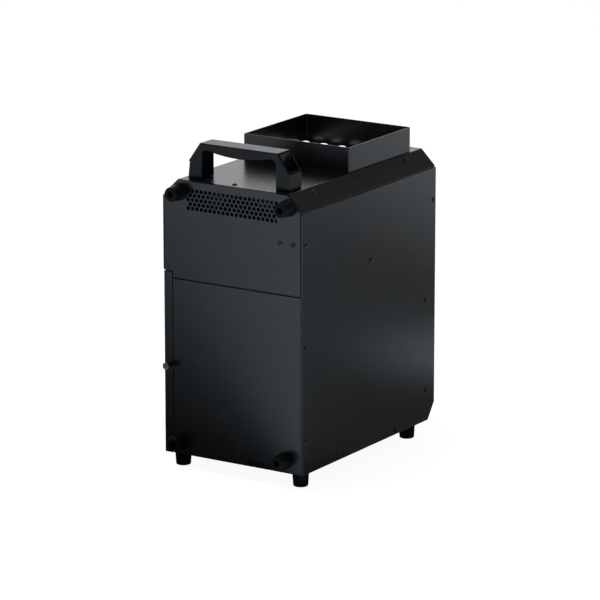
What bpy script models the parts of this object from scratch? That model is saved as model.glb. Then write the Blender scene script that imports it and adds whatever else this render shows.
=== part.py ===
"""Fog machine: an upright sheet-metal fogger that blows upward through a lit, open chute.

Design frame, in metres: x runs to the right across the rear face, from the body's middle plane;
y runs from the rear face (0) to the front face (DEPTH); z runs up from the body's underside (0).
The empty "body_frame" carries that frame, so that the object stands on its feet at z = 0.
"""
import math

import bmesh
import bpy
from mathutils import Matrix, Vector

# ---------------------------------------------------------------- driving dimensions
WIDTH = 0.250                 # over the two side covers
DEPTH = 0.386
HEIGHT = 0.431                # body without feet and chute
BEND = 0.0265                 # leg of the 45 degree bends along the top
SLOPE_DEPTH = 0.019           # sloped front edge of the floor
SLOPE_HEIGHT = 0.026
SHEET = 0.0018                # body sheet
THIN = 0.0015                 # inner brackets and angles
GAP = 0.0003                  # between pieces that touch
SEAM = 0.0015                 # visible upright seams of the rear face
WIDE_SEAM = 0.0022            # level seam between the rear panel and the lower rear wall

CHUTE_WIDTH = 0.1924
CHUTE_DEPTH = 0.1794
CHUTE_MIDDLE = 0.267          # y of the chute's, nozzle's and heater's axis
CHUTE_RISE = 0.0387
BOARD_TOP = 0.4244            # light board inside the chute

DOOR_BOTTOM = 0.0003
DOOR_TOP = 0.286
DOOR_FLANGE = 0.016           # strip that wraps round onto the rear face
DOOR_CORNER = 0.003           # radius of the strip's upper corner
HINGE_X = -0.124
HINGE_Y = 0.212
HINGE_RADIUS = 0.003
HINGE_ROOM = HINGE_RADIUS + 0.0004    # from the hinge's axis to the sheets beside it
HINGE_LOW = 0.006
HINGE_HIGH = 0.283

SEAM_HEIGHT = 0.2755          # top edge of the lower rear wall
FOOT_HEIGHT = 0.023
REAR_FOOT_LENGTH = 0.024
HEAD_RADIUS = 0.0038          # screw heads
HEAD_RISE = 0.002
FRONT_RISE = 0.010            # fuse cap, the piece furthest forward
ROCKER_TILT = math.radians(9)

HALF = WIDTH / 2
INNER = HALF - SHEET - GAP            # what the side covers lie against
PANEL_HALF = HALF - SHEET - 0.0008    # rear and front walls, with a visible gap to the covers
REAR_Y = -(DEPTH + FRONT_RISE - REAR_FOOT_LENGTH) / 2

UPRIGHT = Matrix.Rotation(math.radians(90), 4, "X")                # outline (x, z), thickness along y
# outline (y, z), thickness along x
SIDEWAYS = Matrix(((0, 0, 1, 0), (1, 0, 0, 0), (0, 1, 0, 0), (0, 0, 0, 1)))
ALONG_Y = Matrix.Rotation(math.radians(-90), 4, "X")               # turned shape whose top faces +y
TO_REAR = Matrix.Rotation(math.radians(90), 4, "X")                # turned shape whose top faces -y
TO_RIGHT = Matrix.Rotation(math.radians(90), 4, "Y")               # turned shape whose top faces +x
TO_LEFT = Matrix.Rotation(math.radians(-90), 4, "Y")


# ---------------------------------------------------------------- scene and materials
def start():
    for obj in list(bpy.data.objects):
        bpy.data.objects.remove(obj, do_unlink=True)
    groups = {}
    for name in ("fog_machine", "cutters"):
        groups[name] = bpy.data.collections.new(name)
        bpy.context.scene.collection.children.link(groups[name])
    frame = bpy.data.objects.new("body_frame", None)
    frame.location = (0, REAR_Y, FOOT_HEIGHT)
    groups["fog_machine"].objects.link(frame)
    return groups["fog_machine"], groups["cutters"], frame


PARTS, CUTTERS, BODY = start()


def material(name, color, roughness, metallic):
    made = bpy.data.materials.new(name)
    made.use_nodes = True
    shader = made.node_tree.nodes["Principled BSDF"]
    shader.inputs["Base Color"].default_value = (*color, 1)
    shader.inputs["Roughness"].default_value = roughness
    shader.inputs["Metallic"].default_value = metallic
    made.diffuse_color = (*color, 1)
    return made


COAT = material("black_powder_coat", (0.020, 0.022, 0.026), 0.42, 0.0)
COAT_INNER = material("grey_coat", (0.10, 0.10, 0.11), 0.5, 0.0)
PLASTIC = material("black_plastic", (0.025, 0.025, 0.027), 0.45, 0.0)
GLOSS = material("black_gloss_plastic", (0.012, 0.012, 0.014), 0.15, 0.0)
RUBBER = material("black_rubber", (0.018, 0.018, 0.018), 0.75, 0.0)
STEEL = material("zinc_steel", (0.45, 0.45, 0.46), 0.35, 1.0)
DARK_STEEL = material("black_steel", (0.05, 0.05, 0.055), 0.35, 1.0)
ALUMINIUM = material("aluminium", (0.60, 0.61, 0.62), 0.4, 1.0)
BRASS = material("brass", (0.55, 0.40, 0.16), 0.35, 1.0)
COPPER = material("copper", (0.60, 0.28, 0.16), 0.35, 1.0)
LENS = material("led_lens", (0.90, 0.92, 0.95), 0.2, 0.0)
BOARD = material("light_board", (0.010, 0.011, 0.012), 0.2, 0.0)
CIRCUIT = material("circuit_board", (0.02, 0.12, 0.06), 0.4, 0.0)
WOOL = material("heater_wool", (0.62, 0.58, 0.50), 0.9, 0.0)
BOTTLE = material("container_plastic", (0.70, 0.72, 0.70), 0.35, 0.0)
HOSE = material("silicone_hose", (0.55, 0.58, 0.58), 0.3, 0.0)
GLASS = material("display_glass", (0.03, 0.05, 0.06), 0.05, 0.0)


# ---------------------------------------------------------------- outlines
def rectangle(low, high):
    (x0, y0), (x1, y1) = low, high
    return [(x0, y0), (x1, y0), (x1, y1), (x0, y1)]


def arc(centre, radius, start, end, steps):
    """Points of an arc, angles in degrees, both ends included."""
    angles = [math.radians(start + (end - start) * i / steps) for i in range(steps + 1)]
    return [(centre[0] + radius * math.cos(a), centre[1] + radius * math.sin(a)) for a in angles]


def circle(centre, radius, sides):
    return arc(centre, radius, 0, 360 - 360 / sides, sides - 1)


def rounded_rectangle(low, high, radius, steps=3):
    (x0, y0), (x1, y1) = low, high
    corners = ((x1, y1, -1, -1, 0), (x0, y1, 1, -1, 90), (x0, y0, 1, 1, 180), (x1, y0, -1, 1, 270))
    points = []
    for x, y, sx, sy, start_angle in corners:
        points += arc((x + sx * radius, y + sy * radius), radius, start_angle, start_angle + 90, steps)
    return points


def bent(points, radius, steps=2):
    """The open path through the points, with its inner corners rounded."""
    path = [Vector(points[0])]
    for before, corner, after in zip(points, points[1:], points[2:]):
        corner = Vector(corner)
        into = (Vector(before) - corner).normalized()
        out = (Vector(after) - corner).normalized()
        half_angle = into.angle(out) / 2
        reach = radius / math.tan(half_angle)
        centre = corner + (into + out).normalized() * (radius / math.sin(half_angle))
        first = corner + into * reach - centre
        last = corner + out * reach - centre
        for i in range(steps + 1):
            mix = first.lerp(last, i / steps).normalized() * radius
            path.append(centre + mix)
    path.append(Vector(points[-1]))
    return [tuple(p) for p in path]


# ---------------------------------------------------------------- meshes
def evaluated(holder):
    """The holder's evaluated mesh, welded and facing out; the holder is removed."""
    bpy.context.scene.collection.objects.link(holder)
    graph = bpy.context.evaluated_depsgraph_get()
    mesh = bpy.data.meshes.new_from_object(holder.evaluated_get(graph))
    bpy.data.objects.remove(holder, do_unlink=True)
    shape = bmesh.new()
    shape.from_mesh(mesh)
    bmesh.ops.remove_doubles(shape, verts=shape.verts, dist=0.00001)
    bmesh.ops.recalc_face_normals(shape, faces=shape.faces)
    shape.to_mesh(mesh)
    shape.free()
    return mesh


def flat(loops, thickness):
    """A plate with the first loop as its edge and the others as holes, centred on its plane."""
    curve = bpy.data.curves.new("outline", "CURVE")
    curve.dimensions = "2D"
    curve.fill_mode = "BOTH"
    curve.extrude = thickness / 2
    for loop in loops:
        spline = curve.splines.new("POLY")
        spline.points.add(len(loop) - 1)
        for point, (u, v) in zip(spline.points, loop):
            point.co = (u, v, 0, 1)
        spline.use_cyclic_u = True
    return evaluated(bpy.data.objects.new("outline", curve))


def turned(profile, steps, ring=False):
    """A turned shape about z: the profile holds (radius, height) from top to bottom."""
    mesh = bpy.data.meshes.new("profile")
    edges = [(i, i + 1) for i in range(len(profile) - 1)]
    if ring:
        edges.append((len(profile) - 1, 0))
    mesh.from_pydata([(r, 0, z) for r, z in profile], edges, [])
    holder = bpy.data.objects.new("profile", mesh)
    screw = holder.modifiers.new("turn", "SCREW")
    screw.steps = screw.render_steps = steps
    screw.use_merge_vertices = True
    screw.merge_threshold = 0.00001
    return evaluated(holder)


def folded(path, start_at, end_at, axis, thickness):
    """Bent sheet: the path is drawn in the plane across the axis, and the sheet lies on its left."""
    place = {
        "X": lambda u, v, w: (w, u, v),
        "Y": lambda u, v, w: (u, w, v),
        "Z": lambda u, v, w: (u, v, w),
    }[axis]
    verts = [place(u, v, w) for u, v in path for w in (start_at, end_at)]
    faces = []
    for i in range(0, 2 * (len(path) - 1), 2):
        face = (i, i + 2, i + 3, i + 1)
        faces.append(face if axis == "Y" else face[::-1])
    mesh = bpy.data.meshes.new("sheet")
    mesh.from_pydata(verts, [], faces)
    holder = bpy.data.objects.new("sheet", mesh)
    solid = holder.modifiers.new("thickness", "SOLIDIFY")
    solid.thickness = thickness
    solid.offset = 1
    solid.use_even_offset = True
    return evaluated(holder)


def block(low, high, bevel=0.0, segments=2):
    mesh = bpy.data.meshes.new("block")
    shape = bmesh.new()
    bmesh.ops.create_cube(shape, size=1)
    size = Vector(high) - Vector(low)
    bmesh.ops.scale(shape, vec=size, verts=shape.verts)
    bmesh.ops.translate(shape, vec=Vector(low) + size / 2, verts=shape.verts)
    shape.to_mesh(mesh)
    shape.free()
    holder = bpy.data.objects.new("block", mesh)
    if bevel:
        edge = holder.modifiers.new("edges", "BEVEL")
        edge.width = bevel
        edge.segments = segments
    return evaluated(holder)


def rod(start_point, end_point, radius, sides=12):
    """A cylinder between two points."""
    along = Vector(end_point) - Vector(start_point)
    mesh = bpy.data.meshes.new("rod")
    shape = bmesh.new()
    bmesh.ops.create_cone(shape, cap_ends=True, segments=sides, radius1=radius, radius2=radius,
                          depth=along.length)
    turn = along.to_track_quat("Z", "Y").to_matrix().to_4x4()
    shape.transform(Matrix.Translation(Vector(start_point) + along / 2) @ turn)
    shape.to_mesh(mesh)
    shape.free()
    return mesh


def smooth_route(points, spacing):
    """Points along a Catmull-Rom curve through the route's own points."""
    route = [Vector(p) for p in points]
    route = [2 * route[0] - route[1]] + route + [2 * route[-1] - route[-2]]
    result = []
    for a, b, c, d in zip(route, route[1:], route[2:], route[3:]):
        count = max(1, round((c - b).length / spacing))
        for i in range(count):
            t = i / count
            result.append(0.5 * (2 * b + (c - a) * t + (2 * a - 5 * b + 4 * c - d) * t ** 2
                                 + (3 * b - a - 3 * c + d) * t ** 3))
    result.append(route[-2])
    return result


def tube(points, radius, spacing):
    curve = bpy.data.curves.new("route", "CURVE")
    curve.dimensions = "3D"
    curve.bevel_depth = radius
    curve.bevel_resolution = 2
    curve.use_fill_caps = True
    route = smooth_route(points, spacing)
    spline = curve.splines.new("POLY")
    spline.points.add(len(route) - 1)
    for point, place in zip(spline.points, route):
        point.co = (*place, 1)
    return evaluated(bpy.data.objects.new("route", curve))


def moved(mesh, where, turn=None):
    """A copy of the mesh, turned and then moved."""
    copy = mesh.copy()
    copy.transform(Matrix.Translation(where) @ (turn or Matrix()))
    return copy


# ---------------------------------------------------------------- objects
def piece(name, meshes, finish, origin=(0, 0, 0), smooth=True):
    """One named object of one or more closed solids, with its origin where asked."""
    shape = bmesh.new()
    for mesh in meshes:
        shape.from_mesh(mesh)
    bmesh.ops.translate(shape, vec=-Vector(origin), verts=shape.verts)
    mesh = bpy.data.meshes.new(name)
    shape.to_mesh(mesh)
    shape.free()
    if smooth:
        mesh.shade_smooth()
        mesh.set_sharp_from_angle(angle=math.radians(35))
    mesh.materials.clear()
    mesh.materials.append(finish)
    obj = bpy.data.objects.new(name, mesh)
    obj.location = origin
    obj.parent = BODY
    PARTS.objects.link(obj)
    return obj


def cutter(name, meshes):
    obj = piece(name, meshes, COAT, smooth=False)
    PARTS.objects.unlink(obj)
    CUTTERS.objects.link(obj)
    obj.hide_render = True
    obj.display_type = "WIRE"
    return obj


def combine(obj, other, operation):
    step = obj.modifiers.new(other.name, "BOOLEAN")
    step.operation = operation
    step.solver = "EXACT"
    step.object = other


def cut(obj, *others):
    for other in others:
        combine(obj, other, "DIFFERENCE")


def join(obj, other):
    combine(obj, other, "UNION")


# ---------------------------------------------------------------- screw heads of the covers
SIDE_SCREWS = ((0.011, 0.354), (0.011, 0.196), (0.011, 0.050), (0.196, 0.2935), (0.379, 0.353),
               (0.3585, 0.196), (0.3585, 0.051), (0.1007, 0.007), (0.270, 0.007))
BEND_SCREWS = (0.0624, 0.195, 0.3278)     # y of the screws in each 45 degree bend
BEND_SCREW_X = 0.1052
BEND_SCREW_Z = HEIGHT - (BEND_SCREW_X - (HALF - BEND))
REAR_SCREWS = ((0.0852, 0.3557), (0.1096, 0.3557))
TOP_SCREW = (-0.005, 0.0152)
FRONT_SCREWS = ((-0.112, 0.050), (0.112, 0.050), (-0.112, 0.392), (0.112, 0.392))


def add_heads(sheet, places):
    """Button heads, set into the sheet's face at each place and turned to face out."""
    crown = HEAD_RADIUS * 0.72
    rim = HEAD_RISE * 0.55
    depth = 0.0005
    head = turned([(0, HEAD_RISE), (crown, HEAD_RISE), (HEAD_RADIUS, rim), (HEAD_RADIUS, -depth),
                   (0, -depth)], 10)
    join(sheet, cutter(sheet.name + "_heads", [moved(head, where, turn) for where, turn in places]))


# ---------------------------------------------------------------- body sheets
def make_chassis():
    """Floor, lower rear wall and sloped front edge, bent from one sheet."""
    path = bent([(0, SEAM_HEIGHT), (0, 0), (DEPTH - SLOPE_DEPTH, 0), (DEPTH, SLOPE_HEIGHT),
                 (DEPTH, SLOPE_HEIGHT + 0.012)], 0.0025)
    chassis = piece("chassis_tray", [folded(path, -PANEL_HALF, PANEL_HALF, "X", SHEET)], COAT)
    edge = -HALF + DOOR_FLANGE + SEAM
    flange_space = block((-HALF, -0.001, DOOR_BOTTOM - SEAM), (edge, 0.004, DOOR_TOP))
    cut(chassis, cutter("flange_space", [flange_space]))
    first, pitch, half_width, reach, top, count = 0.0281, 0.0054, 0.001, 0.009, 0.0115, 9
    slots = [block((x - half_width, -0.001, -0.001), (x + half_width, reach, top))
             for x in (first + pitch * i for i in range(count))]
    cut(chassis, cutter("vent_slots", slots), FOOT_HOLES)


def rear_panel_outline():
    top = HEIGHT - (PANEL_HALF - (HALF - BEND))
    low = SEAM_HEIGHT + WIDE_SEAM
    notch = -HALF + DOOR_FLANGE + SEAM
    return [(-PANEL_HALF, DOOR_TOP + SEAM), (notch, DOOR_TOP + SEAM), (notch, low), (PANEL_HALF, low),
            (PANEL_HALF, top), (HALF - BEND, HEIGHT), (-HALF + BEND, HEIGHT), (-PANEL_HALF, top)]


def intake_holes():
    """Five staggered rows of intake holes, 21 and 20 to a row."""
    pitch, rows, lowest, radius = 0.0079, 5, 0.3887, 0.0026
    holes = []
    for row in range(rows):
        count = 21 - row % 2
        z = lowest + row * pitch * math.sqrt(3) / 2
        columns = [(i - (count - 1) / 2) * pitch for i in range(count)]
        holes += [rod((x, -0.001, z), (x, SHEET + 0.001, z), radius, 6) for x in columns]
    return cutter("intake_holes", holes)


def make_rear_panel():
    sheet = flat([rear_panel_outline()], SHEET)
    panel = piece("rear_panel_upper", [moved(sheet, (0, SHEET / 2, 0), UPRIGHT)], COAT)
    add_heads(panel, [((x, 0, z), TO_REAR) for x, z in REAR_SCREWS])
    cut(panel, FOOT_HOLES, intake_holes())


def make_top_cover():
    """Top plate and both 45 degree bends, with the chute's opening."""
    corner = HEIGHT - (INNER - (HALF - BEND))
    lower_edge = 0.392
    path = bent([(INNER, lower_edge), (INNER, corner), (HALF - BEND, HEIGHT), (-HALF + BEND, HEIGHT),
                 (-INNER, corner), (-INNER, lower_edge)], 0.002)
    seam = 0.001
    sheet = folded(path, SHEET + seam, DEPTH - SHEET - seam, "Y", SHEET)
    cover = piece("top_plate", [sheet], COAT)
    margin = 0.0005
    half_width, half_depth = CHUTE_WIDTH / 2 + margin, CHUTE_DEPTH / 2 + margin
    opening = rounded_rectangle((-half_width, CHUTE_MIDDLE - half_depth),
                                (half_width, CHUTE_MIDDLE + half_depth), 0.0045, 2)
    cut(cover, cutter("chute_opening", [moved(flat([opening], 0.010), (0, 0, HEIGHT))]), HANDLE_HOLES)
    screws = [((*TOP_SCREW, HEIGHT), Matrix())]
    for side in (-1, 1):
        lean = Matrix.Rotation(math.radians(45 * side), 4, "Y")
        screws += [((side * BEND_SCREW_X, y, BEND_SCREW_Z), lean) for y in BEND_SCREWS]
    add_heads(cover, screws)


def side_outline(with_door):
    """Side cover in (y, z): the sloped corner at the front, and the door's space on the left side."""
    top = HEIGHT - BEND
    front = [(DEPTH - SLOPE_DEPTH, 0), (DEPTH, SLOPE_HEIGHT), (DEPTH, top), (0, top)]
    if not with_door:
        return [(0, 0)] + front
    edge = HINGE_Y + HINGE_ROOM
    return [(edge, 0)] + front + [(0, DOOR_TOP + 0.002), (edge, DOOR_TOP + 0.002)]


def make_side_covers():
    for name, side, with_door in (("side_cover_right", 1, False), ("side_cover_left", -1, True)):
        sheet = moved(flat([side_outline(with_door)], SHEET), (side * (HALF - SHEET / 2), 0, 0), SIDEWAYS)
        turn = TO_LEFT if with_door else TO_RIGHT
        places = [((side * HALF, y, z), turn) for y, z in SIDE_SCREWS
                  if not with_door or y > HINGE_Y or z > DOOR_TOP]
        add_heads(piece(name, [sheet], COAT), places)


def make_front_panel():
    top = HEIGHT - (PANEL_HALF - (HALF - BEND))
    low = SLOPE_HEIGHT + 0.012 + GAP
    outline = [(-PANEL_HALF, low), (PANEL_HALF, low), (PANEL_HALF, top), (HALF - BEND, HEIGHT),
               (-HALF + BEND, HEIGHT), (-PANEL_HALF, top)]
    panel = piece("front_panel", [moved(flat([outline], SHEET), (0, DEPTH - SHEET / 2, 0), UPRIGHT)], COAT)
    add_heads(panel, [((x, DEPTH, z), ALONG_Y) for x, z in FRONT_SCREWS])
    rear, front = DEPTH - 0.003, DEPTH + 0.001
    rounds = [(x, BUTTON_HEIGHT, 0.0049) for x in BUTTON_PLACES.values()]
    rounds += [(x, SOCKET_HEIGHT, 0.0115) for x in (SIGNAL_IN_X, SIGNAL_OUT_X)]
    rounds.append((FUSE_X, POWER_HEIGHT, 0.0066))
    windows = [(0, 0.3635, 0.033, 0.0105), (INLET_X, POWER_HEIGHT, 0.0140, 0.0105),
               (SWITCH_X, POWER_HEIGHT, 0.0100, 0.0145)]
    openings = [rod((x, rear, z), (x, front, z), radius, 16) for x, z, radius in rounds]
    openings += [block((x - w, rear, z - h), (x + w, front, z + h)) for x, z, w, h in windows]
    cut(panel, cutter("front_openings", openings))


def make_frame():
    """Welded inner frame: four angle posts, a rail along each side of the floor, and two cross bars."""
    low, high = SHEET + GAP, 0.3915
    rear, front = SHEET + 0.0006, DEPTH - SHEET - 0.0006
    toe = SLOPE_HEIGHT + 0.004
    side = INNER - 0.0002
    bar = side - 0.001
    first = folded(((0.078, rear), (side, rear), (side, 0.025)), low, high, "Z", THIN)
    frame = piece("inner_frame", [first], COAT_INNER)
    members = {
        "floor_rail_right": folded(((0.108, low), (side, low), (side, 0.016)), rear + 0.0004, 0.362, "Y",
                                   THIN),
        "rear_bar": block((-bar, rear + 0.0002, 0.264), (bar, rear + THIN + 0.0002, 0.290)),
        "front_bar": block((-bar, front - THIN - 0.0002, toe), (bar, front - 0.0002, toe + 0.020)),
        "front_post_right": folded(((side, 0.350), (side, front), (0.104, front)), toe, high, "Z", THIN),
        "rear_post_left": folded(((-side, 0.025), (-side, rear), (-0.098, rear)), low, high, "Z", THIN),
        "floor_rail_left": block((-bar, rear + 0.0004, low + 0.0002), (-0.108, 0.362, low + THIN + 0.0002)),
        "rail_upstand_left": block((-side, HINGE_Y + 0.024, low), (-side + THIN + 0.001, 0.362, 0.016)),
        "front_post_left": folded(((-0.104, front), (-side, front), (-side, 0.350)), toe, high, "Z", THIN),
    }
    for name, x in (("front_leg_right", side - THIN - 0.0004), ("front_leg_left", -side + 0.0004)):
        members[name] = block((x, 0.3505, low + 0.0002), (x + THIN, 0.3618, toe + 0.012))
    for name, mesh in members.items():
        join(frame, cutter(name, [mesh]))
    cut(frame, cutter("thumbscrew_hole", [rod((THUMB_X, 0, THUMB_Z), (THUMB_X, 0.01, THUMB_Z), 0.0023, 10)]))


def make_bay():
    """Shelf over the fluid bay, and the wall between it and the heater."""
    path = ((-INNER, 0.303), (-INNER, 0.2905), (INNER, 0.2905), (INNER, 0.303))
    piece("bay_shelf", [folded(path, 0.0256, 0.2115, "Y", THIN)], COAT_INNER)
    wall = folded(((0.213, 0.2900), (0.213, SHEET + GAP), (0.233, SHEET + GAP)), -0.105, 0.105, "X", THIN)
    divider = piece("bay_divider", [wall], COAT_INNER)
    cut(divider, cutter("pipe_hole", [rod((PIPE_X, 0.205, PIPE_Z), (PIPE_X, 0.220, PIPE_Z), 0.006, 12)]))


# ---------------------------------------------------------------- access door
THUMB_X = -0.1103
THUMB_Z = 0.141
THUMB_LENGTH = 0.018
WASHER_GAP = 0.0010           # the thumbscrew is shown backed off by this much
WASHER_THICKNESS = 0.0010


def make_door():
    path = bent([(-HALF, HINGE_Y - HINGE_ROOM), (-HALF, 0), (-HALF + DOOR_FLANGE, 0)], 0.0025)
    origin = (HINGE_X, HINGE_Y, 0)
    door = piece("access_door", [folded(path, DOOR_BOTTOM, DOOR_TOP, "Z", SHEET)], COAT, origin)
    hem = block((-HALF + 0.001, 0.027, DOOR_TOP - THIN), (-HALF + 0.011, 0.190, DOOR_TOP))
    join(door, cutter("door_hem", [hem]))
    corner = (-HALF + DOOR_FLANGE - DOOR_CORNER, DOOR_TOP - DOOR_CORNER)
    over = 0.001
    beyond = -HALF + DOOR_FLANGE + over
    outline = arc(corner, DOOR_CORNER, 90, 0, 5)
    outline += [(beyond, corner[1]), (beyond, DOOR_TOP + over), (corner[0], DOOR_TOP + over)]
    round_off = moved(flat([outline], 0.006), (0, 0.001, 0), UPRIGHT)
    room = 0.0027
    notch = arc((THUMB_X, THUMB_Z), room, 90, 270, 6)
    notch += [(beyond, THUMB_Z - room), (beyond, THUMB_Z + room)]
    cut(door, cutter("flange_corner", [round_off]),
        cutter("flange_notch", [moved(flat([notch], 0.006), (0, 0.001, 0), UPRIGHT)]))


def hinge_leaf(name, origin, outer, inner, first):
    """A leaf and every second knuckle of the hinge, from the first one named."""
    count = 7
    length = (HINGE_HIGH - HINGE_LOW) / count
    low_x, high_x = -INNER, -INNER + 0.0014
    near, far = sorted((outer, inner))
    leaf = piece(name, [block((low_x, near, HINGE_LOW), (high_x, far, HINGE_HIGH))], DARK_STEEL, origin)
    tongues, knuckles, bores = [], [], []
    for index in range(first, count, 2):
        z0 = HINGE_LOW + index * length + GAP
        z1 = z0 + length - 2 * GAP
        near, far = sorted((HINGE_Y, inner + math.copysign(0.001, outer - inner)))
        tongues.append(block((low_x, near, z0), (high_x, far, z1)))
        knuckles.append(rod((HINGE_X, HINGE_Y, z0), (HINGE_X, HINGE_Y, z1), HINGE_RADIUS, 12))
        bores.append(rod((HINGE_X, HINGE_Y, z0 - 0.001), (HINGE_X, HINGE_Y, z1 + 0.001), 0.0016, 8))
    join(leaf, cutter(name + "_tongues", tongues))
    join(leaf, cutter(name + "_knuckles", knuckles))
    cut(leaf, cutter(name + "_bores", bores))


def make_hinge():
    hinge_leaf("hinge_frame_leaf", (0, 0, 0), 0.232, HINGE_Y + HINGE_ROOM, 0)
    hinge_leaf("hinge_door_leaf", (HINGE_X, HINGE_Y, 0), 0.192, HINGE_Y - HINGE_ROOM, 1)
    pin = rod((HINGE_X, HINGE_Y, HINGE_LOW - 0.0005), (HINGE_X, HINGE_Y, HINGE_HIGH + 0.0005), 0.0013, 8)
    piece("hinge_pin", [pin], STEEL)


def make_thumbscrew():
    outer = THUMB_LENGTH
    inner = WASHER_GAP + WASHER_THICKNESS + GAP
    knob, collar, shank, depth = 0.0065, 0.0040, 0.0020, 0.009
    profile = [(0, outer), (knob - 0.0007, outer), (knob, outer - 0.0007), (knob, outer - 0.0050),
               (collar, outer - 0.0060), (collar, inner), (shank, inner), (shank, -depth), (0, -depth)]
    where = (THUMB_X, 0, THUMB_Z)
    piece("door_thumbscrew", [moved(turned(profile, 16), where, TO_REAR)], STEEL, where)
    rim, bore = 0.0052, 0.0023
    top = WASHER_GAP + WASHER_THICKNESS
    washer = turned([(rim, top), (rim, WASHER_GAP), (bore, WASHER_GAP), (bore, top)], 16, ring=True)
    piece("thumbscrew_washer", [moved(washer, where, TO_REAR)], DARK_STEEL, where)


# ---------------------------------------------------------------- chute and lights
def make_chute():
    def ring(inset):
        half_width, half_depth = CHUTE_WIDTH / 2 - inset, CHUTE_DEPTH / 2 - inset
        return rounded_rectangle((-half_width, CHUTE_MIDDLE - half_depth),
                                 (half_width, CHUTE_MIDDLE + half_depth), 0.004 - inset)
    height = CHUTE_RISE + 0.030
    collar = moved(flat([ring(0), ring(SHEET)], height), (0, 0, HEIGHT + CHUTE_RISE - height / 2))
    piece("chute_collar", [collar], COAT)
    hole = circle((0, CHUTE_MIDDLE), 0.024, 20)
    inside = ring(SHEET + 0.0004)
    piece("led_board", [moved(flat([inside, hole], 0.0016), (0, 0, BOARD_TOP - 0.0008))], BOARD)
    carrier = moved(flat([inside, hole], 0.0010), (0, 0, BOARD_TOP + GAP + 0.0005))
    array = piece("led_lens_array", [carrier], LENS)
    lens = turned([(0, 0.0063), (0.0085, 0.0063), (0.0095, 0.0055), (0.0095, 0.0008), (0, 0.0008)], 12)
    join(array, cutter("lens_domes", [moved(lens, (x, y, BOARD_TOP)) for x, y in lens_places()]))


def lens_places():
    """A rectangle of lights round the nozzle: six along the rear and front, four more on each side."""
    column_pitch, row_pitch = 0.0336, 0.0272
    columns = [(i - 2.5) * column_pitch for i in range(6)]
    rows = [CHUTE_MIDDLE + (i - 2.5) * row_pitch for i in range(6)]
    places = [(x, y) for x in columns for y in (rows[0], rows[-1])]
    return places + [(x, y) for x in (columns[0], columns[-1]) for y in rows[1:-1]]


# ---------------------------------------------------------------- handle and feet
HANDLE_HALF = 0.091
HANDLE_REAR = 0.018
HANDLE_DEPTH = 0.034
HANDLE_RISE = 0.0555
HANDLE_SCREW_X = 0.080
HANDLE_SCREW_Y = HANDLE_REAR + HANDLE_DEPTH / 2


def handle_outline():
    """Bridge in (x, height above the top plate), with a slightly bowed grip."""
    inner, under_end, under_middle, radius = 0.0662, 0.0445, 0.0382, 0.008
    steps = 8
    outer = [(HANDLE_HALF, 0), (HANDLE_HALF, 0.025), (0.0695, HANDLE_RISE), (-0.0695, HANDLE_RISE),
             (-HANDLE_HALF, 0.025), (-HANDLE_HALF, 0)]
    left = [(-inner, 0)] + arc((-inner + radius, under_end - radius), radius, 180, 90, 3)
    reach = inner - radius
    sag = under_end - under_middle
    bow = [(-reach + 2 * reach * i / steps, under_end - sag * math.sin(math.pi * i / steps))
           for i in range(1, steps)]
    right = arc((inner - radius, under_end - radius), radius, 90, 0, 3) + [(inner, 0)]
    return outer + left + bow + right


def make_handle():
    bridge = moved(flat([handle_outline()], HANDLE_DEPTH), (0, HANDLE_SCREW_Y, HEIGHT + GAP), UPRIGHT)
    handle = piece("handle", [bridge], PLASTIC)
    wall, pocket_half, seat = 0.0032, 0.0085, 0.008
    pockets = [block((x - pocket_half, HANDLE_REAR + wall, HEIGHT + seat),
                     (x + pocket_half, HANDLE_REAR + HANDLE_DEPTH - wall, HEIGHT + 0.070))
               for x in (-HANDLE_SCREW_X, HANDLE_SCREW_X)]
    cut(handle, cutter("handle_pockets", pockets), HANDLE_HOLES)
    head, shank = 0.0045, 0.0025
    screw = turned([(0, 0.0135), (head, 0.0135), (head, seat + GAP), (shank, seat + GAP), (shank, -0.006),
                    (0, -0.006)], 10)
    for name, side in (("left", -1), ("right", 1)):
        where = (side * HANDLE_SCREW_X, HANDLE_SCREW_Y, HEIGHT)
        piece(f"handle_screw_{name}", [moved(screw, where)], DARK_STEEL)


def handle_holes():
    holes = [rod((x, HANDLE_SCREW_Y, HEIGHT - 0.010), (x, HANDLE_SCREW_Y, HEIGHT + 0.010), 0.0029, 10)
             for x in (-HANDLE_SCREW_X, HANDLE_SCREW_X)]
    return cutter("handle_holes", holes)


FEET_X = {"left": -0.107, "right": 0.107}
FEET_Y = {"rear": 0.024, "front": 0.333}
BACK_FEET = {"lower_left": (-0.0943, 0.0205), "upper_left": (-0.0955, 0.4117),
             "lower_right": (0.0945, 0.0205), "upper_right": (0.1005, 0.4115)}


def foot_holes():
    holes = [rod((x, y, -0.004), (x, y, 0.010), 0.0026, 8) for x in FEET_X.values() for y in FEET_Y.values()]
    holes += [rod((x, -0.004, z), (x, 0.010, z), 0.0026, 8) for x, z in BACK_FEET.values()]
    return cutter("foot_holes", holes)


def foot_mesh(length, base, tip, steps=12):
    """Tapered rubber foot hanging below z = 0, with a screw well in its tip."""
    well, hole, seat = 0.0048, 0.0026, 0.007
    profile = [(hole, -GAP), (base, -GAP), (base - 0.0004, -0.003), (tip, -length + 0.0025),
               (tip - 0.002, -length), (well, -length), (well, -seat), (hole, -seat)]
    return turned(profile, steps, ring=True)


def make_feet():
    under = foot_mesh(FOOT_HEIGHT, 0.0130, 0.0116)
    rear = foot_mesh(REAR_FOOT_LENGTH, 0.0132, 0.0110)
    for side, x in FEET_X.items():
        for end, y in FEET_Y.items():
            piece(f"bottom_foot_{end}_{side}", [moved(under, (x, y, 0))], RUBBER)
    for place, (x, z) in BACK_FEET.items():
        piece(f"back_foot_{place}", [moved(rear, (x, 0, z), ALONG_Y)], RUBBER)


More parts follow.
